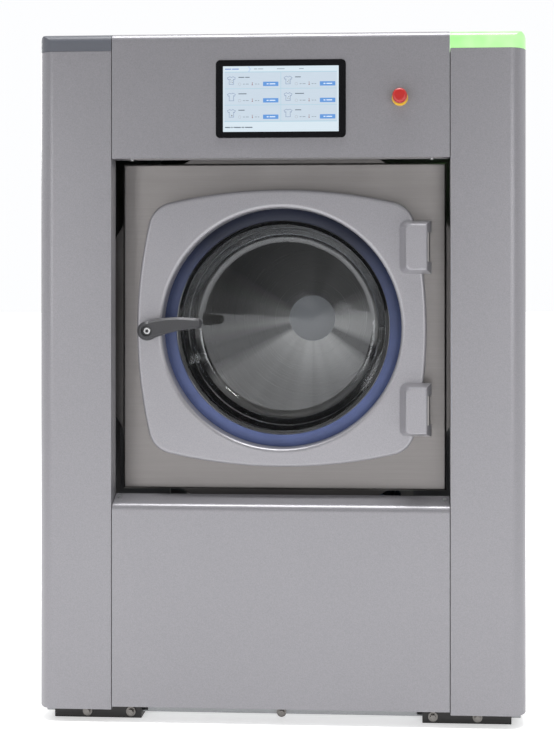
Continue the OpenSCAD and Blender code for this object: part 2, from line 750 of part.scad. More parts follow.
// Tub
module tub_shell() color("silver") difference() {
    union() {
        about_axis() cylinder_at(tub_r, tub_y + tub_t, tub_back_y);
        front() translate([soap_x, soap_y, axis_z]) cylinder(r = soap_r, h = hose_bottom - axis_z);
        front() translate([drain_x, drain_y, bellows_top]) cylinder(r = drain_r, h = axis_z - bellows_top);
    }
    about_axis() cylinder_at(tub_r - tub_t, tub_y, tub_back_y + 1);
    front() translate([soap_x, soap_y, axis_z + 100]) cylinder(r = soap_r - 3, h = 400);
    front() translate([drain_x, drain_y, 100]) cylinder(r = drain_r - 3, h = 400);
}
module cylinder_at(r, z0, z1) translate([0, 0, z0]) cylinder(r = r, h = z1 - z0);
module tub_front_wall() color("silver") about_axis() {
    ring(mouth_r, tub_r, tub_y, tub_y + tub_t);
    ring(mouth_r, mouth_r + tub_t, plate_y + tub_t, tub_y + eps);
}
module pan(i, back) {
    w = 2 * plate_half;
    h = plate_z1 - plate_z0;
    zc = (plate_z0 + plate_z1) / 2;
    intersection() {
        front() translate([0, plate_y, plate_z0 - 1]) linear_extrude(h + 2) bent_edge(w, i, back);
        translate([-w / 2 - 1, front_y + plate_y, zc]) rotate([90, 0, 90]) linear_extrude(w + 2)
            mirror([1, -1]) bent_edge(h, i, back);
    }
}
module bent_edge(w, i, back) {
    r = plate_r - i;
    translate([plate_r - w / 2, i]) square([w - 2 * plate_r, back - i]);
    translate([i - w / 2, plate_r]) square([w - 2 * i, back - plate_r]);
    for (s = arrow) translate([s * (w / 2 - plate_r), plate_r]) circle(r);
}
module tub_front_plate() color("silver") difference() {
    pan(0, plate_d);
    pan(tub_t, plate_d + 1);
    about_axis() cylinder_at(mouth_r, plate_y - 1, plate_y + 9);
}
module mouth_seal() color([0.12, 0.12, 0.12]) about_axis() rotate_extrude()
    polygon([
        [mouth_r + 14, plate_y], [mouth_r + 16, door_back + seat], [mouth_r + 26, door_back + seat],
        [mouth_r + 30, plate_y]
    ]);
module tub_back() color("silver") about_axis()
    ring(bearing_r - 10, tub_r, tub_back_y, tub_back_y + tub_back_t);

// Bearing housing: a cast hub with eight tapered ribs
module bearing_housing() color("dimgray") about_axis() {
    z0 = tub_back_y + tub_back_t;
    difference() {
        union() {
            cylinder_at(bearing_r + 18, z0, z0 + housing_d);
            cylinder_at(bearing_r + 60, z0, z0 + 14);
            for (i = [0:7]) rotate([0, 0, i * 45 + 22.5]) translate([0, 7, 0]) rotate([90, 0, 0])
                linear_extrude(14) polygon([
                    [bearing_r + 10, z0], [tub_r - 30, z0], [tub_r - 30, z0 + 16],
                    [bearing_r + 40, z0 + housing_d - 20], [bearing_r + 10, z0 + housing_d - 8]
                ]);
        }
        cylinder_at(bearing_r + seat, z0 - 1, z0 + housing_d + 1);
    }
}
module shaft_bearings() color("silver") about_axis() {
    z0 = tub_back_y + tub_back_t;
    for (z = [z0 + 8, z0 + housing_d - 40]) difference() {
        ring(shaft_r + run_fit, bearing_r, z, z + 32);
        for (s = [z - 2, z + 30]) ring(shaft_r + 8, bearing_r - 8, s, s + 4);
    }
    ring(shaft_r + run_fit, bearing_r - 10.3, tub_back_y, z0 + 7);
}

// Motor, its bracket, both pulleys and the belt
module motor_housing() color("slategray") translate([motor_x, front_y, motor_z]) rotate([-90, 0, 0])
    difference() {
        z0 = motor_back - motor_len;
        union() {
            cylinder_at(motor_r - 12, z0, motor_back);
            cylinder_at(motor_r, z0, z0 + 24);
            cylinder_at(motor_r, motor_back - 24, motor_back);
            for (i = [0:19]) rotate([0, 0, i * 18]) translate([motor_r - 14, -2, z0 + 12])
                cube([14, 4, motor_len - 24]);
        }
        cylinder_at(rotor_r + run_fit, motor_back - 60, motor_back + 1);
    }
module motor_bracket() color("gray") for (y = [motor_back - motor_len + 20, motor_back - 80]) difference() {
    box(motor_x - 70, motor_x + 60, y, y + 20, motor_z, axis_z - tub_r + 60);
    rod_y(motor_x, motor_z, y - 1, y + 21, motor_r + seat);
    rod_y(0, axis_z, y - 1, y + 21, tub_r + seat);
}
module motor_pulley() color("gray") translate([motor_x, front_y, motor_z]) rotate([-90, 0, 0]) {
    cylinder_at(rotor_r, motor_back - 56, pulley_y + pulley_w + 6);
    cylinder_at(motor_pulley_r, pulley_y, pulley_y + pulley_w);
}
module belt_outline(t) {
    d = [motor_x, axis_z - motor_z];
    a = atan2(d[1], d[0]);
    b = acos((pulley_r - motor_pulley_r) / norm(d));
    circle(pulley_r + t);
    translate(d) circle(motor_pulley_r + t);
    polygon([
        for (s = arrow) (pulley_r + t) * [cos(a - s * b), sin(a - s * b)],
        for (s = arrow) d + (motor_pulley_r + t) * [cos(a + s * b), sin(a + s * b)]
    ]);
}
module drive_belt() color([0.08, 0.08, 0.08]) about_axis() translate([0, 0, pulley_y + 6])
    linear_extrude(pulley_w - 12) difference() {
        belt_outline(seat + belt_t);
        belt_outline(seat);
    }
module drum_pulley() color("gray") about_axis() {
    ring(pulley_r - 18, pulley_r, pulley_y, pulley_y + pulley_w);
    ring(shaft_r + seat, shaft_r + 28, pulley_y, pulley_y + pulley_w);
    for (i = [0:5]) rotate([0, 0, i * 60]) translate([shaft_r + 20, -16, pulley_y + 12])
        cube([pulley_r - shaft_r - 30, 32, 14]);
    cylinder_at(shaft_r + 12, pulley_y + pulley_w, pulley_y + pulley_w + 10);
}

// Drum: shell, front ring with a rolled mouth, spider back with its shaft and domed cap, lifters
module drum_shell() color("lightgray") about_axis()
    ring(drum_r, drum_r + drum_t, drum_y + drum_t, drum_back_y);
module drum_front() color("lightgray") about_axis() {
    ring(drum_mouth + 4, drum_r + drum_t, drum_y - drum_t, drum_y + drum_t);
    translate([0, 0, drum_y - 2]) rotate_extrude() translate([drum_mouth + 5, 0]) circle(5, $fn = 32);
}
module drum_back() color("lightgray") about_axis() {
    cylinder_at(drum_r + drum_t, drum_back_y, drum_back_y + 6);
    cylinder_at(shaft_r + 45, drum_back_y, drum_back_y + 20);
    for (i = [0:2]) rotate([0, 0, 30 + i * 120]) translate([0, -35, drum_back_y])
        cube([drum_r - 8, 70, 16]);
    cylinder_at(shaft_r, drum_back_y, pulley_y + pulley_w);
    translate([0, 0, drum_back_y]) rotate_extrude() intersection() {
        translate([0, hub_r * 2.2 - 16]) circle(hub_r * 2.2);
        translate([0, -16]) square([hub_r, 16]);
    }
}
module drum_lifters() color("lightgray") about_axis() for (i = [0:2]) rotate([0, 0, 40 + i * 120])
    translate([0, 0, drum_y + 14]) linear_extrude(drum_back_y - drum_y - 28) intersection() {
        circle(drum_r - seat);
        union() {
            polygon([
                [drum_r + 5, -lifter_w / 2], [drum_r - lifter_h + 14, -14 * 0.93],
                [drum_r - lifter_h + 14, 14 * 0.93], [drum_r + 5, lifter_w / 2]
            ]);
            translate([drum_r - lifter_h + 14, 0]) circle(14);
        }
    }

// Door: an outline of eight tangent arcs
function meet(c1, r1, c2, r2) =
    let (d = c2 - c1, n = norm(d), a = (n * n + r1 * r1 - r2 * r2) / (2 * n), h = sqrt(r1 * r1 - a * a))
    c1 + a * d / n + h * [-d[1], d[0]] / n;
function side_c() = [door_w / 2 - side_bulge, 0];
function top_c() = [0, door_h / 2 - top_bulge];
function corner_c() = meet(side_c(), side_bulge - corner_r, top_c(), top_bulge - corner_r);
function side_a() = atan2(corner_c()[1], corner_c()[0] - side_c()[0]);
function top_a() = atan2(corner_c()[1] - top_c()[1], corner_c()[0]);
function arc_points(c, r, a0, a1, n) =
    [for (i = [0:n]) let (a = a0 + (a1 - a0) * i / n) c + r * [cos(a), sin(a)]];
// A quarter of the outline, moved in by d: half a side, the corner and half the top
function rim_quarter(d) = concat(
    arc_points(side_c(), side_bulge - d, 0.02, side_a() - 0.02, 12),
    arc_points(corner_c(), corner_r - d, side_a(), top_a(), 14),
    arc_points(top_c(), top_bulge - d, top_a() + 0.02, 89.98, 12));
module door_rim(d) {
    q = rim_quarter(d);
    n = len(q) - 1;
    polygon(concat(q, [for (i = [n:-1:0]) [-q[i][0], q[i][1]]], -q,
        [for (i = [n:-1:0]) [q[i][0], -q[i][1]]]));
}
// Whole block of the door, with its front edge rounded in steps
module door_block() translate([0, 0, door_front]) hull() for (a = [0, 22.5, 45, 67.5, 90])
    translate([0, 0, edge_r * (1 - cos(a))])
        linear_extrude(a == 90 ? door_t - edge_r : eps) door_rim(edge_r * (1 - sin(a)));
module door_frame() color("gainsboro") difference() {
    about_axis() {
        difference() {
            door_block();
            cylinder_at(door_bore + 12, 0, door_back + 1);
            for (x = arrow, z = arrow) corner_pocket(x, z);
        }
        rotate_extrude() difference() {
            translate([door_bore, door_front]) square([12.02, door_t]);
            translate([door_bore, door_back - 6]) square([7, 7]);
            difference() {
                translate([door_bore - 1, door_front - 1]) square([lip_round + 1, lip_round + 1]);
                translate([door_bore + lip_round, door_front + lip_round]) circle(lip_round);
            }
        }
    }
    rod_y(-handle_x, handle_z(), 0, door_back + 1, spindle_r + run_fit);
    box(-handle_x - 24, -handle_x + 14, door_back - 19, door_back + 1, handle_z() - 30, handle_z() + 24);
}
module corner_pocket(sx, sz) intersection() {
    cx = corner_c()[0];
    cz = corner_c()[1];
    translate([sx * cx, sz * cz, door_front + 10]) cylinder(r = corner_r - 10, h = door_t);
    translate([0, 0, door_front + 9]) ring(door_bore + 18, 600, 0, door_t);
}
function handle_z() = axis_z - handle_drop;

module door_gasket() color([0.2, 0.24, 0.38]) about_axis() rotate_extrude() {
    translate([glass_r, gasket_y]) square([door_bore - seat - glass_r, 5]);
    translate([glass_r + 11, gasket_y + 4]) square([door_bore - seat - glass_r - 11, door_back - 6 - gasket_y - 4]);
    translate([(glass_r + door_bore - seat) / 2, gasket_y]) intersection() {
        translate([0, 30]) circle(32);
        translate([seat / 2 - (door_bore - glass_r) / 2 + 1, -3]) square([door_bore - glass_r - 2 - seat, 4]);
    }
}
// Glass bowl: a rim under the gasket, a slightly conical wall and a rounded bottom
module bowl_profile(i) {
    r_top = glass_r - i;
    r_bot = bowl_r - i;
    round_r = 24 - i;
    y0 = gasket_y + 5 + seat;
    y1 = gasket_y + bowl_d - i;
    translate([0, y0 - 1]) polygon([
        [0, 0], [r_top, 0], [r_bot, y1 - round_r - y0], [r_bot - round_r, y1 - y0], [0, y1 - y0]
    ]);
    translate([r_bot - round_r, y1 - round_r - 1]) intersection() {
        circle(round_r);
        translate([-1, -1]) square(round_r + 2);
    }
}
module door_glass() color([0.1, 0.11, 0.12]) about_axis() rotate_extrude() {
    intersection() {
        difference() {
            bowl_profile(0);
            bowl_profile(glass_t);
        }
        translate([0, gasket_y + 5 + seat]) square([glass_r + 1, bowl_d]);
    }
    translate([glass_r - glass_t, gasket_y + 5 + seat]) square([glass_t + 10, door_back - 6 - gasket_y - 5 - 2 * seat]);
}
module glass_clamp() color("dimgray") about_axis()
    ring(glass_r + 2, door_bore + 6.7, door_back - 6, door_back);

// Hinges: drafted covers on the door, eyes and pins on the tub
module cover_layer(y, x0, x1, inset) along_y(hinge_x, 0, y, y + eps) {
    half = cover_z / 2 - inset;
    r = cover_r - inset / 2;
    translate([x0 + r, -half]) square([x1 - x0 - r, 2 * half]);
    for (s = arrow) translate([x0 + r, s * (half - r)]) circle(r, $fn = 32);
}
module hinge_cover(s) difference() {
    half = cover_z / 2;
    hull() {
        cover_layer(door_front - eps, -53, 13, 0);
        cover_layer(-5, -42, 4.5, 6);
        cover_layer(-8.5, -39.5, 2.5, 8);
        cover_layer(-10, -36.5, 0.5, 10.5);
    }
    box(hinge_x - eye_r - 4, hinge_x + 20, -4, door_front + 1, -eye_len(), eye_len());
    front() translate([hinge_x, hinge_y, s > 0 ? 6 - half : -half - 1])
        cylinder(r = pin_r + run_fit, h = cover_z - 5, $fn = 48);
}
function eye_len() = cover_z / 2 - pin_hold;
module hinge_covers() color("gainsboro") for (s = arrow) translate([0, 0, axis_z + s * hinge_z]) hinge_cover(s);
module hinge_brackets() color("silver") for (s = arrow) translate([0, 0, axis_z + s * hinge_z]) {
    h = eye_len() - seat;
    pin = h + pin_hold - 7;
    front() translate([hinge_x, hinge_y, -h]) cylinder(r = eye_r, h = 2 * h);
    box(hinge_x - 4, hinge_x + 4, hinge_y, plate_y, -h, h);
    box(hinge_x - 34, hinge_x + 4, plate_y - 5, plate_y, -h - 10, h + 10);
    front() translate([hinge_x, hinge_y, -pin]) cylinder(r = pin_r, h = 2 * pin, $fn = 48);
}

// Latch: a keeper hook on the tub, and the handle with its spindle and finger on the door
module door_keeper() color("silver") {
    z = handle_z() - 5.7;
    x = -handle_x - 20;
    box(x, x + 14, door_back - 17, door_back - 9.5, z - 12, z);
    box(x, x + 14, door_back - 17, plate_y, z - 18, z - 12);
    box(x - 6, x + 26, plate_y - 4, plate_y, z - 36, z - 12);
}
// The handle's middle line and half height along its length
function lever_mid(u) = 15.5 * sin(min(90, 90 * u / 85));
function lever_half(u) = boss_r - 0.09 * u;
module lever_slice(u, i) translate([u, 0, 0]) {
    m = lever_mid(u);
    h = lever_half(u);
    translate([0, 0, m]) rotate([90, 0, 90]) linear_extrude(1, center = true) polygon([
        [0, h - 5], [5, h], [14, h], [16, h - 3], [16, 3 - h], [14, -h], [5, -h], [0, 5 - h]
    ]);
}
module door_handle() color([0.3, 0.3, 0.31]) translate([-handle_x, front_y - 8, handle_z()]) {
    stations = [4, 22, 42, 64, 86, handle_len];
    difference() {
        union() {
            for (k = [0:4]) hull() {
                lever_slice(stations[k]);
                lever_slice(stations[k + 1]);
            }
            translate([handle_len, 0, lever_mid(handle_len)]) rotate([-90, 0, 0])
                cylinder(r1 = lever_half(handle_len) - 4, r2 = lever_half(handle_len), h = 5);
            translate([handle_len, 5, lever_mid(handle_len)]) rotate([-90, 0, 0])
                cylinder(r = lever_half(handle_len), h = 10);
            rotate([-90, 0, 0]) rotate_extrude() polygon([
                [0, 0], [boss_r - 5, 0], [boss_r, 5], [boss_r, 24], [boss_r - 3, door_front + 8 - seat],
                [0, door_front + 8 - seat]
            ]);
        }
        rotate([-90, 0, 0]) translate([0, 0, -1]) cylinder(r = 11.5, h = 8, $fn = 48);
        rotate([-90, 0, 0]) translate([0, 0, 3]) cylinder(r = 3.5, h = 6, $fn = 6);
    }
    rotate([-90, 0, 0]) translate([0, 0, 6]) difference() {
        cylinder(r = 7, h = 2);
        translate([0, 0, -1]) cylinder(r = 3.5, h = 4, $fn = 6);
    }
    rotate([-90, 0, 0]) translate([0, 0, 12]) cylinder(r = spindle_r, h = door_back - 2 + 8 - 12);
    translate([-finger_len, door_back - 9 + 8, -5]) cube([finger_len, 7, 10]);
}

base_frame();
foot_plates();
base_bolts();
cabinet_frame();
column_left();
column_right();
column_cap();
signal_light_cap();
control_panel();
lower_panel();
side_panel_left();
side_panel_right();
rear_panel();
top_cover();
panel_screws();
screen_bezel();
screen_display();
stop_button_collar();
stop_button_stem();
stop_button_head();
electrical_box();
dispenser_hopper();
dispenser_cells();
dispenser_lid();
dispenser_hose();
inlet_valves();
drain_valve_body();
drain_flap();
drain_bellows();
isolator_housing();
isolator_knob();
cable_gland();
suspension_springs();
damper_cylinders();
damper_rods();
suspension_legs();
tub_shell();
tub_front_wall();
tub_front_plate();
mouth_seal();
tub_back();
bearing_housing();
shaft_bearings();
motor_housing();
motor_bracket();
motor_pulley();
drive_belt();
drum_shell();
drum_front();
drum_back();
drum_lifters();
drum_pulley();
door_frame();
door_gasket();
door_glass();
glass_clamp();
hinge_covers();
hinge_brackets();
door_keeper();
door_handle();
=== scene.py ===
"""Finishes, screen, small hardware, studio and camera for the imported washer-extractor."""
import math

import bmesh
import bpy
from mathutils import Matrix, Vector


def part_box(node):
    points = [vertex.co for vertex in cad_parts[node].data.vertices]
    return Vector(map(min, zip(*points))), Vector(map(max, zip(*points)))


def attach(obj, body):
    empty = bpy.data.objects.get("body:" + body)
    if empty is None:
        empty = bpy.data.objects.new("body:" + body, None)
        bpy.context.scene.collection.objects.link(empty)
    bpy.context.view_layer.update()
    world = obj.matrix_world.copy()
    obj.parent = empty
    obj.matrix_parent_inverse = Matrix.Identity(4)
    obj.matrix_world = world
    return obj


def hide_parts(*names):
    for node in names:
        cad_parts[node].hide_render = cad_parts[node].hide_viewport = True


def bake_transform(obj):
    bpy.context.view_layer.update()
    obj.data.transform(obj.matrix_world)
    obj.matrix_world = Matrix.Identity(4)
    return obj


bl_info = {
    "name": "Washer-extractor looks",
    "version": (1, 0, 0),
    "blender": (4, 5, 0),
    "location": "View3D > Sidebar > Washer",
    "description": "Gives the packed washer-extractor its finishes, screen, hardware, studio and camera",
    "category": "Object",
}

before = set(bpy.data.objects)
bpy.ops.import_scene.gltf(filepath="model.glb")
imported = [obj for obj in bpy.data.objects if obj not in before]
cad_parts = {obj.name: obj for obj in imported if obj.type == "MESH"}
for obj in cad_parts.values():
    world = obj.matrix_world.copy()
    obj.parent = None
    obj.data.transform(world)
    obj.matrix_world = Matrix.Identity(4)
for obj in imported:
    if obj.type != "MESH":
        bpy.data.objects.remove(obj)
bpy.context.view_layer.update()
MM = 0.001
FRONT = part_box("column_right")[0].y
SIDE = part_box("column_right")[1].x
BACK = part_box("rear_panel")[1].y
DOOR_AXIS = (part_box("door_gasket")[0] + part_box("door_gasket")[1]) / 2
DRUM_R = 0.375
HUB_R = 0.061
# The spokes along which the drum back's dark reflection is painted
SPOKES = [math.radians(a) for a in (12, 120, 250)]  # clockwise from the top
HANDLE_PIVOT = (-0.276, -0.005)  # x, and z from the door's axis
SOFT_END = 0.012  # length at each end of a soft piece
FLOOR_R = 40


# Shader arithmetic
class Wire:
    """An output socket that takes part in Python arithmetic through Math nodes."""

    def __init__(self, finish, socket):
        self.finish = finish
        self.socket = socket

    def math(self, operation, *values):
        """A Math node on this value and the others."""
        return self.finish.node("Math", {"operation": operation}, dict(enumerate((self,) + values)))["Value"]

    def __add__(self, other):
        return self.math("ADD", other)

    def __sub__(self, other):
        return self.math("SUBTRACT", other)

    def __rsub__(self, other):
        return (self * -1) + other

    def __mul__(self, other):
        return self.math("MULTIPLY", other)

    def __truediv__(self, other):
        return self.math("DIVIDE", other)

    __radd__ = __add__
    __rmul__ = __mul__


class Outputs:
    """The outputs of a node, by name, as wires."""

    def __init__(self, finish, node):
        self.finish = finish
        self.node = node

    def __getitem__(self, name):
        return Wire(self.finish, self.node.outputs[name])


class Finish:
    """A material under construction, with its Principled shader."""

    def __init__(self, name, **constants):
        self.material = bpy.data.materials.new(name)
        self.material.use_nodes = True
        self.tree = self.material.node_tree
        self.tree.nodes.clear()
        self.out = self.tree.nodes.new("ShaderNodeOutputMaterial")
        self.shader = self.tree.nodes.new("ShaderNodeBsdfPrincipled")
        self.tree.links.new(self.shader.outputs["BSDF"], self.out.inputs["Surface"])
        self.feed(**constants)

    def set(self, node, sockets):
        """Links or sets a node's input sockets by name or number."""
        for key, value in sockets.items():
            if isinstance(value, Wire):
                self.tree.links.new(value.socket, node.inputs[key])
            elif isinstance(value, (tuple, list)) and len(value) == 3 and node.inputs[key].type == "RGBA":
                node.inputs[key].default_value = (*value, 1.0)
            else:
                node.inputs[key].default_value = value

    def node(self, kind, settings=None, sockets=None):
        """A new node: its settings first, then the values or links of its sockets."""
        node = self.tree.nodes.new("ShaderNode" + kind)
        for key, value in (settings or {}).items():
            setattr(node, key, value)
        self.set(node, sockets or {})
        return Outputs(self, node)

    def feed(self, **sockets):
        """Links or sets the shader's sockets, named in lower case."""
        self.set(self.shader, {k.replace("_", " ").title().replace("Ior", "IOR"): v
                               for k, v in sockets.items()})
        return self

    def place(self):
        """The place on the object, in metres."""
        return self.node("TexCoord")["Object"]

    def parts(self):
        """The place's x and y, and its height from the door's axis."""
        split = self.node("SeparateXYZ", None, {"Vector": self.place()})
        return split["X"], split["Y"], split["Z"] - DOOR_AXIS.z

    def noise(self, scale, detail=2.0, rough=0.5, stretch=(1, 1, 1)):
        """Noise from 0 to 1: features per metre, and a share of them along each axis."""
        place = self.node("VectorMath", {"operation": "MULTIPLY"}, {
            0: self.place(), 1: [scale * s for s in stretch]})["Vector"]
        return self.node("TexNoise", None, {
            "Vector": place, "Scale": 1.0, "Detail": detail, "Roughness": rough})["Fac"]

    def line_noise(self, value, detail=2.0):
        """Noise from 0 to 1 along one value."""
        return self.node("TexNoise", {"noise_dimensions": "1D"}, {
            "W": value, "Scale": 1.0, "Detail": detail})["Fac"]

    def ramp(self, value, low, high):
        """0 below low, 1 above high, straight between."""
        return self.node("MapRange", None, {"Value": value, "From Min": low, "From Max": high})["Result"]

    def blend(self, factor, dark, light):
        """A colour between two."""
        node = self.tree.nodes.new("ShaderNodeMix")
        node.data_type = "RGBA"
        for index, value in ((0, factor), (6, dark), (7, light)):
            if isinstance(value, Wire):
                self.tree.links.new(value.socket, node.inputs[index])
            else:
                node.inputs[index].default_value = (*value, 1.0) if index else value
        return Wire(self, node.outputs[2])

    def bump(self, height, depth, strength=1.0):
        """A bumped normal: height from 0 to 1, depth in metres."""
        return self.node("Bump", None, {"Height": height, "Distance": depth, "Strength": strength})["Normal"]


def times(colour, share, lift=0.0):
    """A colour multiplied by a share and lifted, with no part over 1."""
    return [min(1, c * share + lift) for c in colour]


def painted_metal(name, colour, metallic, rough):
    """Metallic paint with a fine flake, an orange-peel skin and slight clouding."""
    f = Finish(name, metallic=metallic, coat_weight=0.22, coat_roughness=0.22)
    flake = f.noise(520, 3, 0.6)
    cloud = f.noise(3)
    peel = f.noise(260)
    tone = f.ramp(flake, 0.3, 0.7) * 0.8 + cloud * 0.2
    return f.feed(base_color=f.blend(tone, times(colour, 0.87), times(colour, 1.13)),
                  roughness=f.ramp(flake, 0, 1) * 0.16 + (rough - 0.08),
                  normal=f.bump(flake * 0.5 + peel * 0.5, 0.00035, 0.5)).material


def brushed_steel(name, colour, along, painted_light_fall=0.0):
    """Stainless steel with fine scratches along x or z; the last argument is the share of painted light from
    above, by which it darkens downwards and lightens upwards.
    """
    f = Finish(name, metallic=1.0)
    stretch = {"x": (0.012, 0.4, 1), "z": (1, 0.4, 0.012)}[along]
    lines = f.noise(900, 3, 0.65, stretch)
    broad = f.noise(160, 2, 0.5, stretch)
    smudge = f.noise(7, 3, 0.55)
    tone = f.ramp(lines * 0.55 + broad * 0.25 + smudge * 0.2, 0.3, 0.7)
    base = f.blend(tone, times(colour, (1 - painted_light_fall) * 0.86), times(colour, 1 - painted_light_fall))
    if painted_light_fall:
        # Painted light from above: darker below and paler above, from 0.34 m below the door's axis to 0.32 m
        # above it
        pale = f.blend(tone, times(colour, (1 + painted_light_fall) * 0.86), times(colour, 1 + painted_light_fall))
        base = f.blend(f.ramp(f.parts()[2], -0.34, 0.32), base, pale)
    return f.feed(base_color=base,
                  roughness=f.ramp(lines, 0.2, 0.8) * 0.12 + smudge * 0.1 + 0.24,
                  normal=f.bump(lines, 0.00008)).material


def zinc_plate(name, colour=(0.52, 0.53, 0.54), rough=0.38):
    """Zinc-plated steel with faint spangle and handling marks."""
    f = Finish(name, metallic=0.95)
    spangle = f.node("TexVoronoi", {"feature": "F1"}, {"Vector": f.place(), "Scale": 90.0})["Color"]
    grainy = f.node("SeparateColor", None, {"Color": spangle})["Red"]
    marks = f.noise(45, 4, 0.6)
    return f.feed(base_color=f.blend(grainy * 0.5 + marks * 0.5, times(colour, 0.78), colour),
                  roughness=grainy * 0.1 + marks * 0.12 + (rough - 0.1),
                  normal=f.bump(marks, 0.0001)).material


def cast_metal(name, colour, rough=0.5, metallic=0.6):
    """Sand-cast or die-cast metal: pebbled skin with darker hollows."""
    f = Finish(name, metallic=metallic)
    pebble = f.noise(380, 4, 0.6)
    stain = f.noise(14, 3)
    return f.feed(base_color=f.blend(pebble * 0.6 + stain * 0.4, times(colour, 0.7), colour),
                  roughness=f.ramp(pebble, 0.2, 0.8) * 0.2 + (rough - 0.1),
                  normal=f.bump(pebble, 0.0004)).material


def moulded_plastic(name, colour, rough, texture=1.0, coat=0.0):
    """Moulded plastic with a spark-eroded grain, as deep as texture says, and a share of clear coat."""
    f = Finish(name, coat_weight=coat, coat_roughness=0.12)
    leather = f.noise(700, 3, 0.6)
    worn = f.noise(18, 3)
    return f.feed(base_color=f.blend(worn * 0.6 + leather * 0.4, times(colour, 0.9), colour),
                  roughness=leather * 0.1 + worn * 0.08 + (rough - 0.09),
                  normal=f.bump(leather, 0.0002 * texture)).material


def moulded_rubber(name, colour, rough=0.6, painted_light_share=0.0):
    """Rubber with a bloom in patches and a fine matt skin; a share of painted light from above leaves its top
    darker and its lower half paler.
    """
    f = Finish(name, specular_ior_level=0.3)
    bloom = f.ramp(f.noise(22, 4, 0.6), 0.35, 0.75)
    skin = f.noise(900, 2)
    if painted_light_share:
        # Painted light from above, mixed with the bloom: darker at the top and paler below, from 0.19 m above
        # the door's axis to 0.17 m below it
        painted_light_low = f.ramp(f.parts()[2], 0.19, -0.17)
        base = f.blend(painted_light_low * (bloom * 0.2 + painted_light_share), times(colour, 0.3), times(colour, 3.4, 0.02))
    else:
        base = f.blend(bloom, colour, times(colour, 1.35, 0.012))
    return f.feed(base_color=base, roughness=bloom * 0.12 + (rough - 0.05),
                  normal=f.bump(skin, 0.00015)).material


def lit_lens(name, colour, edge):
    """Frosted lens lit from inside, brighter where the lamps sit."""
    f = Finish(name, base_color=times(colour, 0.08), roughness=0.3, coat_weight=0.3, coat_roughness=0.1,
               emission_strength=1.0)
    glow = f.ramp(f.noise(16), 0.25, 0.75)
    frost = f.noise(800, 2)
    return f.feed(emission_color=f.blend(glow, edge, colour), normal=f.bump(frost, 0.0001)).material


def screen_ink(name, colour):
    """One colour of the lit display, with its fine line structure."""
    f = Finish(name, roughness=0.35, specular_ior_level=0.3, emission_strength=1.0)
    rows = f.noise(1600, 1, 0.5, (0.02, 0.02, 1))
    tint = f.blend(f.ramp(rows, 0.3, 0.7), times(colour, 0.965), colour)
    return f.feed(base_color=f.blend(rows, times(colour, 0.05), times(colour, 0.06)),
                  emission_color=tint).material


def door_pane(name):
    """Smoked bowl glass: clear from the front, mirror-like at a slant, with faint water marks."""
    f = Finish(name)
    f.tree.nodes.remove(f.shader)
    marks = f.noise(30, 4, 0.65)
    ripple = f.bump(f.noise(6), 0.004, 0.25)
    slant = f.node("Fresnel", None, {"IOR": 1.5, "Normal": ripple})["Fac"]
    clear = f.node("BsdfTransparent", None, {"Color": (0.93, 0.94, 0.95)})["BSDF"]
    gloss = f.node("BsdfGlossy", None, {
        "Color": (0.95, 0.96, 0.98), "Roughness": 0.03, "Normal": ripple})["BSDF"]
    share = slant * 1.15 + f.ramp(marks, 0.6, 0.9) * 0.03
    both = f.node("MixShader", None, {0: share, 1: clear, 2: gloss})["Shader"]
    f.tree.links.new(both.socket, f.out.inputs["Surface"])
    return f.material


def drilled_steel(name, colour, pitch=0.021, hole=0.0028):
    """Drum wall: brushed steel with staggered rows of drain holes of one radius, painted as near-black spots
    of shade.
    """
    f = Finish(name, metallic=1.0)
    x, y, high = f.parts()
    around = x.math("ARCTAN2", high) * DRUM_R / pitch
    deep = y / pitch
    shift = deep.math("FLOOR").math("MODULO", 2) * 0.5
    across = (around + shift + 100).math("FRACT") - 0.5
    down = (deep + 100).math("FRACT") - 0.5
    away = (across * across + down * down).math("SQRT") * pitch
    sheet = f.ramp(away, hole * 0.8, hole * 1.25)
    lines = f.noise(700, 3, 0.6, (1, 0.015, 1))
    tone = f.blend(lines, times(colour, 0.85), colour)
    # Painted shade: each hole is a near-black, non-metallic spot
    return f.feed(base_color=f.blend(sheet, (0.012, 0.012, 0.012), tone), metallic=sheet,
                  roughness=lines * 0.1 + (1 - sheet) * 0.4 + 0.24,
                  normal=f.bump(sheet + lines * 0.05, 0.0006)).material


def hub_steel(name, colour):
    """Drum back: steel turned in rings, with painted shade over its top, painted dark reflections along three
    spokes and in streaks by angle, and a matt cap.
    """
    f = Finish(name)
    x, _, high = f.parts()
    radius = (x * x + high * high).math("SQRT")
    angle = x.math("ARCTAN2", high)
    rings = f.line_noise(radius * 900)
    # Painted reflection: streaks by angle stand for the radial reflections of spun steel
    painted_reflection_streaks = f.line_noise(angle * 2.2 + 3.1, 1.0)
    cap = f.ramp(radius, HUB_R + 0.002, HUB_R)
    # In turns: a spoke's painted dark reflection fades from 0.012 to 0.036 off its middle, the painted shade
    # of the top from 0.16 to 0.34
    spoke = 0
    for at in SPOKES:
        away = ((angle - at) / (2 * math.pi) + 1.5).math("FRACT") - 0.5
        spoke = f.ramp(away.math("ABSOLUTE"), 0.036, 0.012) + spoke
    # Painted shade: the top of the back is darkened
    above = f.ramp((angle / (2 * math.pi)).math("ABSOLUTE"), 0.34, 0.16) * 0.97
    tone = f.ramp(rings, 0.2, 0.8) * 0.25 + f.ramp(painted_reflection_streaks, 0.3, 0.7) * 0.3 + 0.45
    steel = f.blend(tone * (1 - spoke) * (1 - above), times(colour, 0.1), colour)
    return f.feed(base_color=f.blend(cap, steel, (0.94, 0.96, 1.0)), metallic=1 - cap,
                  roughness=rings * 0.12 + cap * 0.3 + 0.24, normal=f.bump(rings, 0.00005)).material


# Mesh making
def enter(name, data):
    """Puts a mesh, lamp or camera in the scene."""
    thing = bpy.data.objects.new(name, data)
    bpy.context.scene.collection.objects.link(thing)
    return thing


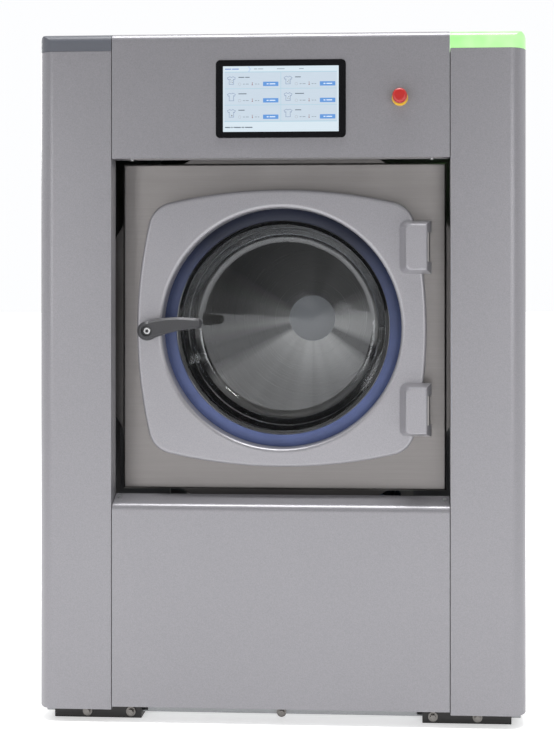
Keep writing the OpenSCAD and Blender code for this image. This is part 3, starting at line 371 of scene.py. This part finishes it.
def finished(name, bm, material):
    """Makes the mesh an object with one material."""
    mesh = bpy.data.meshes.new(name)
    bm.to_mesh(mesh)
    bm.free()
    mesh.materials.append(material)
    return enter(name, mesh)


def link(name, bm, material, body):
    """Makes the mesh a piece that rides on a body."""
    bmesh.ops.recalc_face_normals(bm, faces=bm.faces)
    piece = finished(name, bm, material)
    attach(piece, body)
    return piece


def prism(bm, outline, front, back):
    """A closed prism between two depths from (x, z) points."""
    near = [bm.verts.new((x, front, z)) for x, z in outline]
    far = [bm.verts.new((x, back, z)) for x, z in outline]
    bm.faces.new(near)
    bm.faces.new(far[::-1])
    for i in range(len(outline)):
        j = (i + 1) % len(outline)
        bm.faces.new((near[j], near[i], far[i], far[j]))


def band(bm, outer, inner, front, back):
    """A closed flat band between two outlines with as many points each."""
    rings = [[bm.verts.new((x, y, z)) for x, z in loop]
             for loop, y in ((outer, front), (inner, front), (inner, back), (outer, back))]
    for k in range(4):
        a, b = rings[k], rings[(k + 1) % 4]
        for i in range(len(outer)):
            j = (i + 1) % len(outer)
            bm.faces.new((a[i], a[j], b[j], b[i]))


def rounded(x, z, w, h, r, steps):
    """Points of a rounded rectangle round a middle, with some steps in each corner."""
    points = []
    for cx, cz, start in ((1, 1, 0), (-1, 1, 90), (-1, -1, 180), (1, -1, 270)):
        for k in range(steps + 1):
            a = math.radians(start + 90 * k / steps)
            points.append((x + cx * (w / 2 - r) + r * math.cos(a),
                           z + cz * (h / 2 - r) + r * math.sin(a)))
    return points


def circle(x, z, r, count):
    """Points round a middle."""
    return [(x + r * math.cos(2 * math.pi * k / count), z + r * math.sin(2 * math.pi * k / count))
            for k in range(count)]


def outset(points, width):
    """A closed outline moved outwards by a width, with mitred corners."""
    moved = []
    for i, (x, z) in enumerate(points):
        ax, az = points[i - 1]
        bx, bz = points[(i + 1) % len(points)]
        d1 = Vector((x - ax, z - az)).normalized()
        d2 = Vector((bx - x, bz - z)).normalized()
        n = Vector((d1.y + d2.y, -d1.x - d2.x))
        n = n.normalized() if n.length > 1e-6 else Vector((d1.y, -d1.x))
        scale = width / max(0.35, n.dot(Vector((d1.y, -d1.x))))
        moved.append((x + n.x * scale, z + n.y * scale))
    return moved


def turned(bm, profile, centre, axis, count):
    """A closed turned solid: (radius, height) pairs from its top middle (radius 0) to its bottom edge."""
    axis = Vector(axis).normalized()
    side = axis.orthogonal().normalized()
    up = axis.cross(side)
    loops = []
    for radius, height in profile:
        mid = Vector(centre) + axis * height
        if not radius:
            loops.append([bm.verts.new(mid)])
        else:
            loops.append([bm.verts.new(mid + side * radius * math.cos(2 * math.pi * k / count)
                                       + up * radius * math.sin(2 * math.pi * k / count))
                          for k in range(count)])
    for a, b in zip(loops, loops[1:]):
        for k in range(count):
            j = (k + 1) % count
            corners = (a[k % len(a)], a[j % len(a)], b[j % len(b)], b[k % len(b)])
            bm.faces.new(list(dict.fromkeys(corners)))
    bm.faces.new(loops[-1])


def screw_profile(r, proud):
    """A shallow domed head with a round recess for the driver."""
    return [(0, proud * 0.35), (r * 0.34, proud * 0.35), (r * 0.42, proud * 0.97), (r * 0.7, proud * 0.86),
            (r * 0.93, proud * 0.45), (r, 0), (r * 0.9, -0.0008)]


def screw_row(name, places, axis, r, proud, material, body):
    """A group of like screws as one piece."""
    bm = bmesh.new()
    for place in places:
        turned(bm, screw_profile(r, proud), place, axis, 20)
    shade(link(name, bm, material, body), 35)


def shade(piece, angle):
    """Smooth shading, with edges over an angle in degrees kept sharp."""
    for polygon in piece.data.polygons:
        polygon.use_smooth = True
    bm = bmesh.new()
    bm.from_mesh(piece.data)
    for edge in bm.edges:
        if len(edge.link_faces) == 2 and edge.calc_face_angle(0) > math.radians(angle):
            edge.smooth = False
    bm.to_mesh(piece.data)
    bm.free()


def aimed(name, light, place, aim):
    """Puts a lamp at a place, turned towards a point."""
    lamp = enter(name, light)
    lamp.location = place
    lamp.rotation_euler = (aim - lamp.location).to_track_quat("-Z", "Y").to_euler()
    return lamp


def dress(material, *nodes):
    """Gives CAD nodes a material."""
    for name in nodes:
        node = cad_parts[name]
        if not node.material_slots:
            raise RuntimeError("the frame's node %s has no material slot" % name)
        for holder in node.material_slots:
            holder.material = material


def flex(material, name, fixed_below=True):
    """Stands in for a soft CAD node with a copy of its mesh in a material, and hides the node."""
    low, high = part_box(name)
    fixed, moving = low.z + SOFT_END, high.z - SOFT_END
    if not fixed_below:
        fixed, moving = moving, fixed
    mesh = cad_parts[name].data.copy()
    mesh.materials.clear()
    mesh.materials.append(material)
    piece = enter(name + "_flexing", mesh)
    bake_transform(piece)
    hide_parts(name)


def soften(width, *nodes, angle=32):
    """Rounds CAD nodes' edges over an angle by a width in mm with modifiers, so that they catch light."""
    for name in nodes:
        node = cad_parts[name]
        weld = node.modifiers.new("weld", "WELD")
        weld.merge_threshold = 1e-5
        bevel = node.modifiers.new("edges", "BEVEL")
        bevel.width = width * MM
        bevel.segments = 3
        bevel.limit_method = "ANGLE"
        bevel.angle_limit = math.radians(angle)
        node.modifiers.new("normals", "WEIGHTED_NORMAL")


# User settings
class WasherFinishes(bpy.types.PropertyGroup):
    """Colours of the visible skins."""
    paint: bpy.props.FloatVectorProperty(
        name="Panel paint", description="Metallic paint of the skins and the door", subtype="COLOR",
        size=3, min=0, max=1, default=(0.24, 0.235, 0.252))
    steel: bpy.props.FloatVectorProperty(
        name="Front plate", description="Brushed stainless steel round the door", subtype="COLOR",
        size=3, min=0, max=1, default=(0.285, 0.27, 0.266))
    cap: bpy.props.FloatVectorProperty(
        name="Cap", description="Moulded cap on the left column", subtype="COLOR",
        size=3, min=0, max=1, default=(0.088, 0.093, 0.11))
    lamp: bpy.props.FloatVectorProperty(
        name="Status light", description="Colour of the lit cap on the right column", subtype="COLOR",
        size=3, min=0, max=1, default=(0.62, 0.98, 0.5))
    gasket: bpy.props.FloatVectorProperty(
        name="Gasket", description="Rubber ring round the glass", subtype="COLOR",
        size=3, min=0, max=1, default=(0.019, 0.027, 0.066))
    handle: bpy.props.FloatVectorProperty(
        name="Handle", description="Cast door handle", subtype="COLOR",
        size=3, min=0, max=1, default=(0.052, 0.052, 0.056))


class WasherStudio(bpy.types.PropertyGroup):
    """Camera and lights."""
    distance: bpy.props.FloatProperty(
        name="Distance", description="From the camera to the front plane", default=2.6, unit="LENGTH")
    offset: bpy.props.FloatProperty(
        name="Offset", description="Camera to the right of the middle", default=0.28, unit="LENGTH")
    height: bpy.props.FloatProperty(
        name="Height", description="Camera above the floor", default=0.908, unit="LENGTH")
    turn: bpy.props.FloatProperty(
        name="Turn", description="Camera turned towards the machine", default=math.radians(3.0),
        subtype="ANGLE")
    light: bpy.props.FloatProperty(
        name="Light", description="Strength of all the lamps", default=1.0, min=0)
    room: bpy.props.FloatProperty(
        name="Room", description="Brightness behind the camera, as a share of the white wall",
        default=0.13, min=0)


# Each look's maker, from the user's colours
LOOKS = {
    "panel paint": lambda c: painted_metal("panel_paint", c.paint[:], 0.4, 0.36),
    # The door's paint is the panels' paint made 16% lighter: partly painted light, making up for the shade
    # the control panel casts on the door
    "door paint": lambda c: painted_metal("door_paint", times(c.paint, 1.16), 0.4, 0.34),
    "grey primer": lambda c: painted_metal("grey_primer", (0.3, 0.31, 0.32), 0.3, 0.5),
    "dark steel": lambda c: painted_metal("dark_steel", (0.1, 0.1, 0.105), 0.5, 0.5),
    # The front plate gets 0.24 of painted light from above: darker below, paler above
    "front plate": lambda c: brushed_steel("front_plate_steel", c.steel[:], "x", 0.24),
    "stainless": lambda c: brushed_steel("stainless_sheet", (0.42, 0.41, 0.4), "z"),
    "base steel": lambda c: painted_metal("base_steel", (0.014, 0.013, 0.013), 0.3, 0.6),
    "zinc": lambda c: zinc_plate("zinc_plate"),
    "bolt": lambda c: zinc_plate("bolt_steel", (0.2, 0.19, 0.18), 0.34),
    "bright screw": lambda c: zinc_plate("bright_screw", (0.75, 0.75, 0.76), 0.22),
    "slate": lambda c: moulded_plastic("slate_cap", c.cap[:], 0.4),
    "lamp": lambda c: lit_lens("status_lens", c.lamp[:], (0.32, 0.93, 0.24)),
    "black glass": lambda c: moulded_plastic("black_glass", (0.004, 0.004, 0.005), 0.1, 0.05),
    "red": lambda c: moulded_plastic("stop_red", (0.4, 0.016, 0.014), 0.32, 0.4, 0.2),
    "yellow": lambda c: moulded_plastic("stop_yellow", (0.6, 0.34, 0.015), 0.38, 0.4),
    "black plastic": lambda c: moulded_plastic("black_plastic", (0.022, 0.022, 0.024), 0.45),
    "white plastic": lambda c: moulded_plastic("white_plastic", (0.5, 0.5, 0.485), 0.4),
    "blue plastic": lambda c: moulded_plastic("blue_plastic", (0.09, 0.2, 0.42), 0.4),
    "grey plastic": lambda c: moulded_plastic("grey_plastic", (0.2, 0.21, 0.23), 0.45),
    # The gasket gets 0.8 of painted light from above: its top darker, its lower half paler
    "gasket": lambda c: moulded_rubber("gasket_rubber", c.gasket[:], 0.5, 0.8),
    "black rubber": lambda c: moulded_rubber("black_rubber", (0.02, 0.02, 0.021)),
    "glass": lambda c: door_pane("bowl_glass"),
    "handle": lambda c: cast_metal("handle_casting", c.handle[:], 0.42, 0.35),
    "casting": lambda c: cast_metal("iron_casting", (0.22, 0.23, 0.24)),
    "motor": lambda c: cast_metal("motor_casting", (0.13, 0.17, 0.22), 0.5, 0.3),
    "brass": lambda c: cast_metal("inlet_brass", (0.62, 0.42, 0.16), 0.35, 1.0),
    "drum wall": lambda c: drilled_steel("drum_wall", (0.52, 0.51, 0.5)),
    "drum back": lambda c: hub_steel("drum_back_steel", (0.88, 0.86, 0.83)),
}
FINISHES = {}


def look(name):
    """A finished material by name, made once."""
    if name not in FINISHES:
        FINISHES[name] = LOOKS[name](bpy.context.scene.washer_finishes)
    return FINISHES[name]


# Operators
class WASHER_OT_skins(bpy.types.Operator):
    """Paint the cabinet's skins and add their screws"""
    bl_idname = "washer.skins"
    bl_label = "Cabinet skins"

    def execute(self, context):
        dress(look("panel paint"), "column_left", "column_right", "control_panel", "lower_panel",
              "side_panel_left", "side_panel_right", "top_cover")
        dress(look("stainless"), "rear_panel")
        dress(look("zinc"), "panel_screws")
        dress(look("slate"), "column_cap")
        dress(look("lamp"), "signal_light_cap")
        soften(1.0, "column_left", "column_right", "control_panel", "lower_panel")
        soften(0.8, "side_panel_left", "side_panel_right", "top_cover")
        low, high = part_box("side_panel_right")
        head_r, end, count = 4.5 * MM, 0.06, 6
        heights = [low.z + end + k * (high.z - low.z - 2 * end) / (count - 1) for k in range(count)]
        edges = (low.y + 0.016, high.y - 0.016)
        for name, side in (("side_screws_left", -1), ("side_screws_right", 1)):
            places = [(side * SIDE, y, z) for y in edges for z in heights]
            screw_row(name, places, (side, 0, 0), head_r, 0.8 * MM, look("zinc"), "cabinet")
        low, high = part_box("rear_panel")
        inset, sheet = 0.014, BACK - 0.002
        places = [(x, sheet, z) for x in (low.x + inset, high.x - inset) for z in heights]
        places += [(x, sheet, z) for z in (low.z + inset, high.z - inset) for x in (-0.3, -0.1, 0.1, 0.3)]
        screw_row("rear_screws", places, (0, 1, 0), head_r, 1.6 * MM, look("zinc"), "cabinet")
        return {"FINISHED"}


class WASHER_OT_screen(bpy.types.Operator):
    """Light the display and draw its generic programme cards"""
    bl_idname = "washer.screen"
    bl_label = "Touch screen"

    def execute(self, context):
        dress(look("black glass"), "screen_bezel")
        soften(0.6, "screen_bezel")
        dress(screen_ink("display_edge", (0.66, 0.76, 0.83)), "screen_display")
        low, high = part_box("screen_display")
        # The drawing's own units: the display's width, its upper left corner, and the ground's two sides
        wide, corner_x, corner_z = 1328, 115, 125
        left, right = 131, 1425
        unit = (high.x - low.x) / wide
        # Each layer stands out a little more, and its back is sunk in the display
        depth = {"ground": 0.03 * MM, "mark": 0.07 * MM, "word": 0.11 * MM}
        sunk = low.y + 0.05 * MM
        layers = {}

        def at(px, pz):
            return low.x + (px - corner_x) * unit, high.z - (pz - corner_z) * unit

        def add(layer, outline, level="mark"):
            bm = layers.setdefault(layer, bmesh.new())
            prism(bm, outline, low.y - depth[level], sunk)

        def bar(layer, x0, x1, z, height, level="mark", r=0.5):
            x, y = at((x0 + x1) / 2, z)
            add(layer, rounded(x, y, (x1 - x0) * unit, height * unit, height * unit * r, 3), level)

        def words(layer, x, z, lengths, height=9):
            for length in lengths:
                bar(layer, x, x + length, z, height, "word", 0.45)
                x += length + 9

        def stroke(layer, points, width):
            bm = layers.setdefault(layer, bmesh.new())
            line = [at(*p) for p in points]
            band(bm, outset(line, width * unit / 2), outset(line, -width * unit / 2),
                 low.y - depth["mark"], sunk)

        # The white ground with the lines between its cards, and the bar above it
        bar("cards", left, right, 472, 566, "ground", 0.01)
        for z, height in ((191, 9), (382, 7), (570, 7), (758, 10)):
            bar("rules", left, right, z, height)
        x, z = at(781, 475)
        add("rules", rounded(x, z, 7 * unit, 560 * unit, 2 * unit, 2))
        words("blue_words", 137, 157, (72, 80), 10)
        stroke("chevron", [(404, 130), (412, 130), (434, 158), (412, 188), (404, 188), (426, 158)], 3)
        for x, lengths in ((470, (40, 60)), (735, (90,)), (990, (54,))):
            words("pale_words", x, 157, lengths, 8)
        words("dark_words", 137, 826, (62, 20, 84, 28, 88), 11)
        # Six cards: shirt with its marks, caption, clock, thermometer and key
        shirt = [(-17, -44), (-46, -30), (-36, -8), (-24, -14), (-26, 44), (26, 44), (24, -14), (36, -8),
                 (46, -30), (17, -44), (8, -36), (-8, -36)]
        captions = ((70, 52), (66,), (96,), (104,), (74,), (72,))
        for k in range(6):
            x0, z0 = (left, 784)[k % 2], (195, 384, 572)[k // 2]
            cx, cz = x0 + 80, z0 + 92
            stroke("icons", [(cx + px, cz + pz) for px, pz in shirt], 5)
            if k in (0, 1, 3):
                for px, pz in ((-12, -8), (8, 2), (-6, 18), (12, 24))[k % 2:]:
                    add("icon_marks", circle(*at(cx + px, cz + pz), 4.5 * unit, 10))
            if k == 4:
                bar("icon_marks", cx - 2, cx + 12, cz + 26, 14)
            words("dark_words", x0 + 160, z0 + 57, captions[k])
            stroke("clocks", circle(x0 + 175, z0 + 135, 15, 20), 3.5)
            words("pale_words", x0 + 212, z0 + 135, (24, 36), 8)
            bar("thermometers", x0 + 318, x0 + 325, z0 + 128, 30)
            add("thermometers", circle(*at(x0 + 321.5, z0 + 143), 6.5 * unit, 12))
            words("pale_words", x0 + 350, z0 + 135, (24, 20), 8)
            bar("keys", x0 + 445, x0 + 622, z0 + 134, 50, "mark", 0.08)
            words("key_words", x0 + 486, z0 + 134, (24, 68), 11)
        inks = {"cards": (0.57, 0.66, 0.75), "rules": (0.44, 0.62, 0.72), "blue_words": (0.16, 0.25, 0.6),
                "chevron": (0.36, 0.5, 0.78), "pale_words": (0.3, 0.36, 0.42),
                "dark_words": (0.1, 0.13, 0.17), "icons": (0.22, 0.29, 0.44),
                "icon_marks": (0.16, 0.16, 0.16), "clocks": (0.42, 0.45, 0.5),
                "thermometers": (0.3, 0.14, 0.14), "keys": (0.13, 0.31, 0.68), "key_words": (0.78, 0.88, 1.0)}
        for layer, bm in layers.items():
            ink = screen_ink("display_" + layer, inks[layer])
            link("screen_" + layer, bm, ink, "cabinet")
        return {"FINISHED"}


class WASHER_OT_stop_button(bpy.types.Operator):
    """Give the stop button its red head and yellow collar"""
    bl_idname = "washer.stop_button"
    bl_label = "Stop button"

    def execute(self, context):
        dress(look("red"), "stop_button_head")
        dress(look("yellow"), "stop_button_collar")
        dress(look("black plastic"), "stop_button_stem")
        soften(0.8, "stop_button_head", "stop_button_collar", angle=25)
        return {"FINISHED"}


class WASHER_OT_door(bpy.types.Operator):
    """Finish the door: frame, gasket, glass, clamp and hinges"""
    bl_idname = "washer.door"
    bl_label = "Door and hinges"

    def execute(self, context):
        dress(look("door paint"), "door_frame", "hinge_covers")
        dress(look("gasket"), "door_gasket")
        dress(look("glass"), "door_glass")
        dress(look("dark steel"), "glass_clamp")
        dress(look("stainless"), "hinge_brackets")
        dress(look("zinc"), "door_keeper")
        return {"FINISHED"}


class WASHER_OT_handle(bpy.types.Operator):
    """Finish the handle and add its screw"""
    bl_idname = "washer.handle"
    bl_label = "Door handle"

    def execute(self, context):
        dress(look("handle"), "door_handle")
        soften(1.6, "door_handle")
        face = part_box("door_handle")[0].y
        x, z = HANDLE_PIVOT[0], DOOR_AXIS.z + HANDLE_PIVOT[1]
        bm = bmesh.new()
        band(bm, circle(x, z, 11.3 * MM, 40), circle(x, z, 7.4 * MM, 40), face + 6.4 * MM, face + 7.4 * MM)
        link("handle_screw_well", bm, look("black plastic"), "door_handle")
        # A round head with a hexagonal recess, whose sides have six points each
        bm = bmesh.new()
        hexagon = circle(x, z, 3.6 * MM, 6)
        recess = []
        for side, (ax, az) in enumerate(hexagon):
            bx, bz = hexagon[(side + 1) % 6]
            recess += [(ax + (bx - ax) * k / 6, az + (bz - az) * k / 6) for k in range(6)]
        band(bm, circle(x, z, 6.9 * MM, 36), recess, face + 5.2 * MM, face + 7.2 * MM)
        screw = link("handle_screw", bm, look("bright screw"), "door_handle")
        bevel = screw.modifiers.new("edges", "BEVEL")
        bevel.width = 0.4 * MM
        bevel.segments = 2
        return {"FINISHED"}


class WASHER_OT_washing_unit(bpy.types.Operator):
    """Finish the tub, the drum and the front plate"""
    bl_idname = "washer.washing_unit"
    bl_label = "Tub and drum"

    def execute(self, context):
        dress(look("front plate"), "tub_front_plate", "tub_front_wall")
        soften(0.8, "tub_front_plate")
        dress(look("stainless"), "tub_shell", "tub_back")
        dress(look("black rubber"), "mouth_seal")
        dress(look("drum wall"), "drum_shell")
        dress(look("drum back"), "drum_back", "drum_front")
        dress(look("stainless"), "drum_lifters")
        return {"FINISHED"}


class WASHER_OT_drive(bpy.types.Operator):
    """Finish the bearing housing, motor, pulleys and belt"""
    bl_idname = "washer.drive"
    bl_label = "Drive"

    def execute(self, context):
        dress(look("casting"), "bearing_housing", "drum_pulley", "motor_pulley")
        dress(look("zinc"), "shaft_bearings")
        dress(look("motor"), "motor_housing")
        dress(look("grey primer"), "motor_bracket")
        dress(look("black rubber"), "drive_belt")
        return {"FINISHED"}


class WASHER_OT_suspension(bpy.types.Operator):
    """Finish the springs, dampers, legs, base and frame"""
    bl_idname = "washer.suspension"
    bl_label = "Base and suspension"

    def execute(self, context):
        flex(look("dark steel"), "suspension_springs")
        dress(look("base steel"), "foot_plates")
        dress(look("bolt"), "base_bolts")
        dress(look("black plastic"), "damper_cylinders")
        dress(look("zinc"), "damper_rods")
        dress(look("grey primer"), "suspension_legs", "base_frame", "cabinet_frame", "electrical_box")
        soften(0.8, "foot_plates", "base_frame")
        return {"FINISHED"}


class WASHER_OT_water(bpy.types.Operator):
    """Finish the dispenser, hoses, valves, drain and isolator"""
    bl_idname = "washer.water"
    bl_label = "Water, drain and supply"

    def execute(self, context):
        dress(look("white plastic"), "dispenser_hopper", "dispenser_lid")
        dress(look("blue plastic"), "dispenser_cells")
        flex(look("black rubber"), "drain_bellows")
        flex(look("black rubber"), "dispenser_hose", fixed_below=False)
        dress(look("brass"), "inlet_valves")
        dress(look("grey plastic"), "drain_valve_body", "drain_flap", "isolator_housing")
        dress(look("black plastic"), "isolator_knob", "cable_gland")
        soften(1.2, "dispenser_lid", "isolator_housing")
        return {"FINISHED"}


class WASHER_OT_stage(bpy.types.Operator):
    """Lay the floor, set the soft lights and place the camera"""
    bl_idname = "washer.stage"
    bl_label = "Studio and camera"

    def execute(self, context):
        s = context.scene.washer_studio
        bm = bmesh.new()
        bm.faces.new([bm.verts.new((x, y, -0.0005)) for x, y in circle(0, 0, FLOOR_R, 64)])
        f = Finish("floor_paint", roughness=0.7, emission_color=(1, 1, 1), emission_strength=0.5)
        f.feed(base_color=f.blend(f.noise(2.5, 4, 0.6), (0.84,) * 3, (0.88,) * 3),
               normal=f.bump(f.noise(400), 0.0002))
        floor = finished("floor", bm, f.material)

        # The world is white behind the machine and falls to the room's dim light behind the camera
        world = bpy.data.worlds.new("studio")
        context.scene.world = world
        world.use_nodes = True
        tree = world.node_tree
        split = tree.nodes.new("ShaderNodeSeparateXYZ")
        wall = tree.nodes.new("ShaderNodeMapRange")
        for key, value in (("From Min", -0.8), ("From Max", 0.0), ("To Min", s.room)):
            wall.inputs[key].default_value = value
        background = tree.nodes["Background"]
        background.inputs["Color"].default_value = (0.985, 0.99, 1.0, 1)
        tree.links.new(tree.nodes.new("ShaderNodeTexCoord").outputs["Generated"], split.inputs[0])
        tree.links.new(split.outputs["Y"], wall.inputs["Value"])
        tree.links.new(wall.outputs["Result"], background.inputs["Strength"])
        context.scene.view_settings.view_transform = "Standard"

        # Soft lamps: place, point aimed at, size and watts
        for name, place, aim, size, watts in (
                ("key", (1.9, -4.6, 1.3), (0.1, -0.5, 0.35), (1.6, 1.2), 23),
                ("fill", (-2.4, -4.4, 1.2), (-0.1, -0.5, 0.3), (1.0, 1.4), 17),
                ("strip", (0.0, -1.0, 5.0), (0, -0.6, 0.5), (2.8, 0.5), 185),
                ("low", (0.0, -3.0, 0.4), (0, -0.5, 0.2), (2.6, 0.3), 12),
                ("back", (-3.2, 3.0, 2.4), (0, 0.3, 0.8), (1.6, 1.6), 40)):
            light = bpy.data.lights.new(name, "AREA")
            light.shape = "RECTANGLE"
            light.size, light.size_y = size
            light.energy = watts * s.light
            lamp = aimed(name, light, place, Vector(aim))
            lamp.visible_camera = False
            lamp.visible_glossy = name != "low"

        # A narrow beam lights the drum's back through the glass
        beam = bpy.data.lights.new("drum_beam", "SPOT")
        beam.energy = 30 * s.light
        beam.spot_size = math.radians(7.5)
        beam.spot_blend = 0.5
        beam.shadow_soft_size = 0.12
        aimed("drum_beam", beam, (0.5, -4.1, 1.8), DOOR_AXIS + Vector((0, 0.1, -0.03)))

        # In pixels of the photo: its size, the focal length, the machine's middle across and the
        # camera's height down
        wide, tall, focal = 554, 740, 1266
        middle, level = 279.6, 285
        data = bpy.data.cameras.new("camera")
        data.lens = data.sensor_width * focal / tall
        slant = math.atan2(s.offset, s.distance) - s.turn
        data.shift_x = (wide / 2 - middle - focal * math.tan(slant)) / tall
        data.shift_y = (level - tall / 2) / tall
        data.clip_end = 100
        camera = enter("camera", data)
        camera.location = (s.offset, FRONT - s.distance, s.height)
        camera.rotation_euler = (math.pi / 2, 0, s.turn)
        context.scene.camera = camera
        return {"FINISHED"}


STEPS = (WASHER_OT_stage, WASHER_OT_skins, WASHER_OT_screen, WASHER_OT_stop_button, WASHER_OT_door,
         WASHER_OT_handle, WASHER_OT_washing_unit, WASHER_OT_drive, WASHER_OT_suspension, WASHER_OT_water)


class WASHER_PT_panel(bpy.types.Panel):
    """Settings and steps of the washer-extractor"""
    bl_label = "Washer-extractor"
    bl_space_type = "VIEW_3D"
    bl_region_type = "UI"
    bl_category = "Washer"

    def draw(self, context):
        for group in (context.scene.washer_finishes, context.scene.washer_studio):
            for name in group.__annotations__:
                self.layout.prop(group, name)
        for step in STEPS:
            self.layout.operator(step.bl_idname)


CLASSES = (WasherFinishes, WasherStudio) + STEPS + (WASHER_PT_panel,)


def register():
    for cls in CLASSES:
        bpy.utils.register_class(cls)
    bpy.types.Scene.washer_finishes = bpy.props.PointerProperty(type=WasherFinishes)
    bpy.types.Scene.washer_studio = bpy.props.PointerProperty(type=WasherStudio)


def unregister():
    del bpy.types.Scene.washer_finishes
    del bpy.types.Scene.washer_studio
    for cls in reversed(CLASSES):
        bpy.utils.unregister_class(cls)


def main():
    """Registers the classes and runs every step."""
    register()
    for step in STEPS:
        group, name = step.bl_idname.split(".")
        getattr(getattr(bpy.ops, group), name)()


if __name__ == "__main__":
    main()
